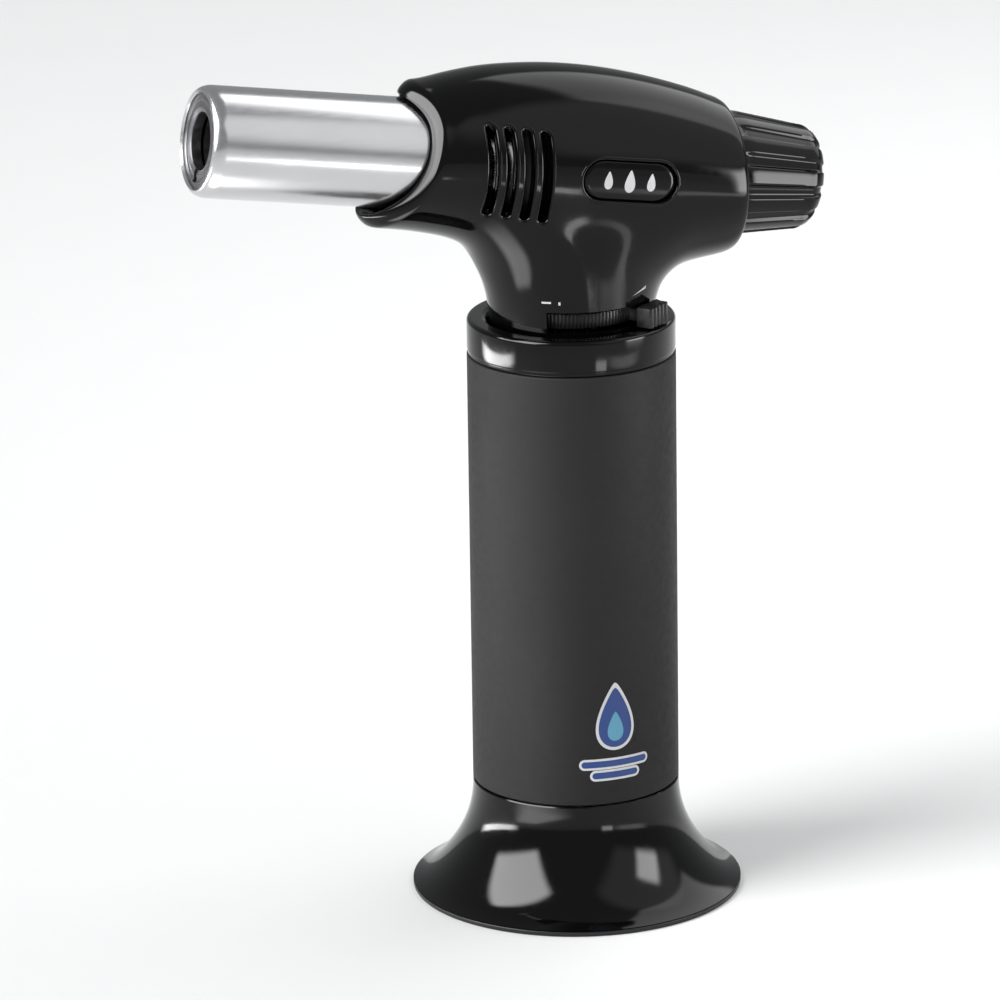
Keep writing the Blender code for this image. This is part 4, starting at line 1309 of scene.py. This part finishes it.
class TORCH_OT_stage(bpy.types.Operator):
    """Set the camera, the pale floor and the soft studio lights"""

    bl_idname = "torch.stage"
    bl_label = "Studio"

    # The camera's turn from straight ahead, its distance and height, and what it aims at.
    VIEW_TURN = 21.0
    DISTANCE = 1200.0
    CAMERA_HEIGHT = 446.0
    AIM_HEIGHT = 74.4
    ASIDE = 0.612
    TILT = 0.63
    FOCAL_SHARE = 6.828

    def execute(self, context):
        self.add_camera(context.scene)
        mesh = bpy.data.meshes.new("floor")
        shape = bmesh.new()
        bmesh.ops.create_grid(shape, x_segments=1, y_segments=1, size=6.0)
        shape.to_mesh(mesh)
        shape.free()
        floor = scratch_object("floor", mesh)
        shade = tuple(colours().floor)
        mesh.materials.append(moulding("pale_floor", shade, 0.6, 0.75, 300.0, 0.01, 1.4, 0.004))
        world = bpy.data.worlds.new("studio")
        world.use_nodes = True
        world.node_tree.nodes["Background"].inputs["Color"].default_value = (0.96, 0.98, 1.0, 1.0)
        world.node_tree.nodes["Background"].inputs["Strength"].default_value = 0.36
        context.scene.world = world
        context.scene.view_settings.view_transform = "Standard"
        # Turn, distance, height, width, how tall, glow, height it faces, and the shares that stay bright.
        self.softbox("left_softbox", -63.0, 0.50, 0.42, 0.60, 0.52, 17.0, 0.08, (0.7, 0.7), False)
        self.softbox("right_fill", 70.0, 0.60, 0.55, 1.15, 0.84, 0.75, 0.14, (0.6, 0.6))
        self.softbox("rear_right_softbox", 132.0, 0.45, 0.54, 0.60, 0.62, 2.2, 0.14, (0.8, 0.8))
        # Place as (turn, distance, height), size, glow, and the shares that stay bright.
        self.card("left_card", (-88.0, 0.33, -0.003), (0.34, 0.05), 30.0, (0.5, 0.9))
        self.card("right_card", (32.0, 0.33, -0.003), (0.08, 0.05), 9.0, (0.6, 0.9))
        self.card("right_wide_card", (58.0, 0.34, -0.003), (0.30, 0.05), 3.0, (0.3, 0.9))
        self.card("floor_card", (-44.0, 0.12, 0.002), (0.16, 0.10), 6.0, (0.4, 0.4), upward=True)
        self.card("button_card", (71.0, 0.20, 0.117), (0.10, 0.11), 14.0, (0.5, 0.5))
        self.add_sun()
        return {"FINISHED"}

    def add_camera(self, scene):
        turn = math.radians(self.VIEW_TURN)
        eye = Vector((-math.sin(turn), -math.cos(turn), 0.0)) * self.DISTANCE
        eye.z = self.CAMERA_HEIGHT
        aim = Vector((0.0, 0.0, self.AIM_HEIGHT))
        camera = bpy.data.cameras.new("camera")
        camera.lens = camera.sensor_width * self.FOCAL_SHARE
        view = bpy.data.objects.new("camera", camera)
        scene.collection.objects.link(view)
        look = (aim - eye).to_track_quat("-Z", "Y").to_matrix().to_4x4()
        look = look @ Matrix.Rotation(math.radians(self.ASIDE), 4, "Y")
        look = look @ Matrix.Rotation(math.radians(-self.TILT), 4, "Z")
        view.matrix_world = Matrix.Translation((TORCH @ eye) * MM) @ look
        scene.camera = view

    def place_at(self, turn, distance, height):
        """A point at an angle to the right of the camera as seen from the body's axis."""
        around = math.radians(self.VIEW_TURN)
        back = Vector((-math.sin(around), -math.cos(around), 0.0))
        right = Vector((math.cos(around), -math.sin(around), 0.0))
        angle = math.radians(turn)
        way = back * math.cos(angle) + right * math.sin(angle)
        return way * distance + Vector((BODY_X * MM, 0.0, height))

    def add_panel(self, name, place, width, tall, glow, fade):
        light = bpy.data.lights.new(name, "AREA")
        light.shape = "RECTANGLE"
        light.size = width
        light.size_y = tall
        light.energy = glow * math.pi * width * tall
        panel = bpy.data.objects.new(name, light)
        bpy.context.scene.collection.objects.link(panel)
        panel.location = place
        panel.visible_camera = False
        self.soften(panel, fade)
        return panel

    def softbox(self, name, turn, distance, height, width, tall, glow, aim, fade, wash=True):
        """A lit panel that faces a height on the torch; without wash it only shows in gloss."""
        place = self.place_at(turn, distance, height)
        panel = self.add_panel(name, place, width, tall, glow, fade)
        way = Vector((BODY_X * MM, 0.0, aim)) - place
        panel.rotation_euler = way.to_track_quat("-Z", "Y").to_euler()
        panel.visible_diffuse = wash

    def card(self, name, spot, size, glow, fade, upward=False):
        """A small panel that only shows in the gloss, as a reflector card does."""
        place = self.place_at(*spot)
        panel = self.add_panel(name, place, *size, glow, fade)
        way = Vector((BODY_X * MM, 0.0, place.z)) - place
        if upward:
            way = Vector((0.0, 0.0, 1.0))
        panel.rotation_euler = way.to_track_quat("-Z", "Y").to_euler()
        panel.visible_diffuse = False

    def add_sun(self):
        """A broad, far light that keeps the floor evenly pale."""
        light = bpy.data.lights.new("far_light", "SUN")
        light.energy = 2.9
        light.angle = math.radians(30.0)
        far = bpy.data.objects.new("far_light", light)
        bpy.context.scene.collection.objects.link(far)
        far.visible_glossy = False
        way = Vector((BODY_X * MM, 0.0, 0.0)) - self.place_at(-62.0, 1.0, 0.95)
        far.rotation_euler = way.to_track_quat("-Z", "Y").to_euler()

    @staticmethod
    def soften(panel, fade):
        """Dims the panel smoothly from a share of each half-size to its edge."""
        light = panel.data
        light.use_nodes = True
        tree = light.node_tree
        place = tree.nodes.new("ShaderNodeTexCoord")
        place.object = panel
        axes = tree.nodes.new("ShaderNodeSeparateXYZ")
        tree.links.new(place.outputs["Object"], axes.inputs["Vector"])
        shares = []
        for axis, size, start in (("X", light.size, fade[0]), ("Y", light.size_y, fade[1])):
            away = tree.nodes.new("ShaderNodeMath")
            away.operation = "ABSOLUTE"
            tree.links.new(axes.outputs[axis], away.inputs[0])
            ramp = tree.nodes.new("ShaderNodeMapRange")
            ramp.interpolation_type = "SMOOTHSTEP"
            ramp.inputs["From Min"].default_value = start * size / 2
            ramp.inputs["From Max"].default_value = size / 2
            ramp.inputs["To Min"].default_value = 1.0
            ramp.inputs["To Max"].default_value = 0.0
            tree.links.new(away.outputs["Value"], ramp.inputs["Value"])
            shares.append(ramp.outputs["Result"])
        both = tree.nodes.new("ShaderNodeMath")
        both.operation = "MULTIPLY"
        tree.links.new(shares[0], both.inputs[0])
        tree.links.new(shares[1], both.inputs[1])
        tree.links.new(both.outputs["Value"], tree.nodes["Emission"].inputs["Strength"])


class TORCH_PT_panel(bpy.types.Panel):
    """Lists the torch's sizes, colours and building steps"""

    bl_label = "Butane torch"
    bl_idname = "TORCH_PT_panel"
    bl_space_type = "VIEW_3D"
    bl_region_type = "UI"
    bl_category = "Torch"

    def draw(self, context):
        layout = self.layout
        for group in (context.scene.torch_sizes, context.scene.torch_colours):
            box = layout.box()
            for name in group.__annotations__:
                box.prop(group, name)
        for step in STEPS:
            layout.operator(step.bl_idname)


STEPS = (
    TORCH_OT_stage,
    TORCH_OT_inner_finishes,
    TORCH_OT_foot,
    TORCH_OT_grip,
    TORCH_OT_collar,
    TORCH_OT_head,
    TORCH_OT_badges,
    TORCH_OT_neck_marks,
    TORCH_OT_burner,
    TORCH_OT_button,
    TORCH_OT_lever,
    TORCH_OT_springs,
    TORCH_OT_sticker,
)
CLASSES = (TorchSizes, TorchColours, *STEPS, TORCH_PT_panel)


def register():
    for cls in CLASSES:
        bpy.utils.register_class(cls)
    bpy.types.Scene.torch_sizes = PointerProperty(type=TorchSizes)
    bpy.types.Scene.torch_colours = PointerProperty(type=TorchColours)


def unregister():
    del bpy.types.Scene.torch_sizes
    del bpy.types.Scene.torch_colours
    for cls in reversed(CLASSES):
        bpy.utils.unregister_class(cls)


def main():
    register()
    FINISHES.update(make_finishes())
    for step in STEPS:
        group, name = step.bl_idname.split(".")
        getattr(getattr(bpy.ops, group), name)()


if __name__ == "__main__":
    main()
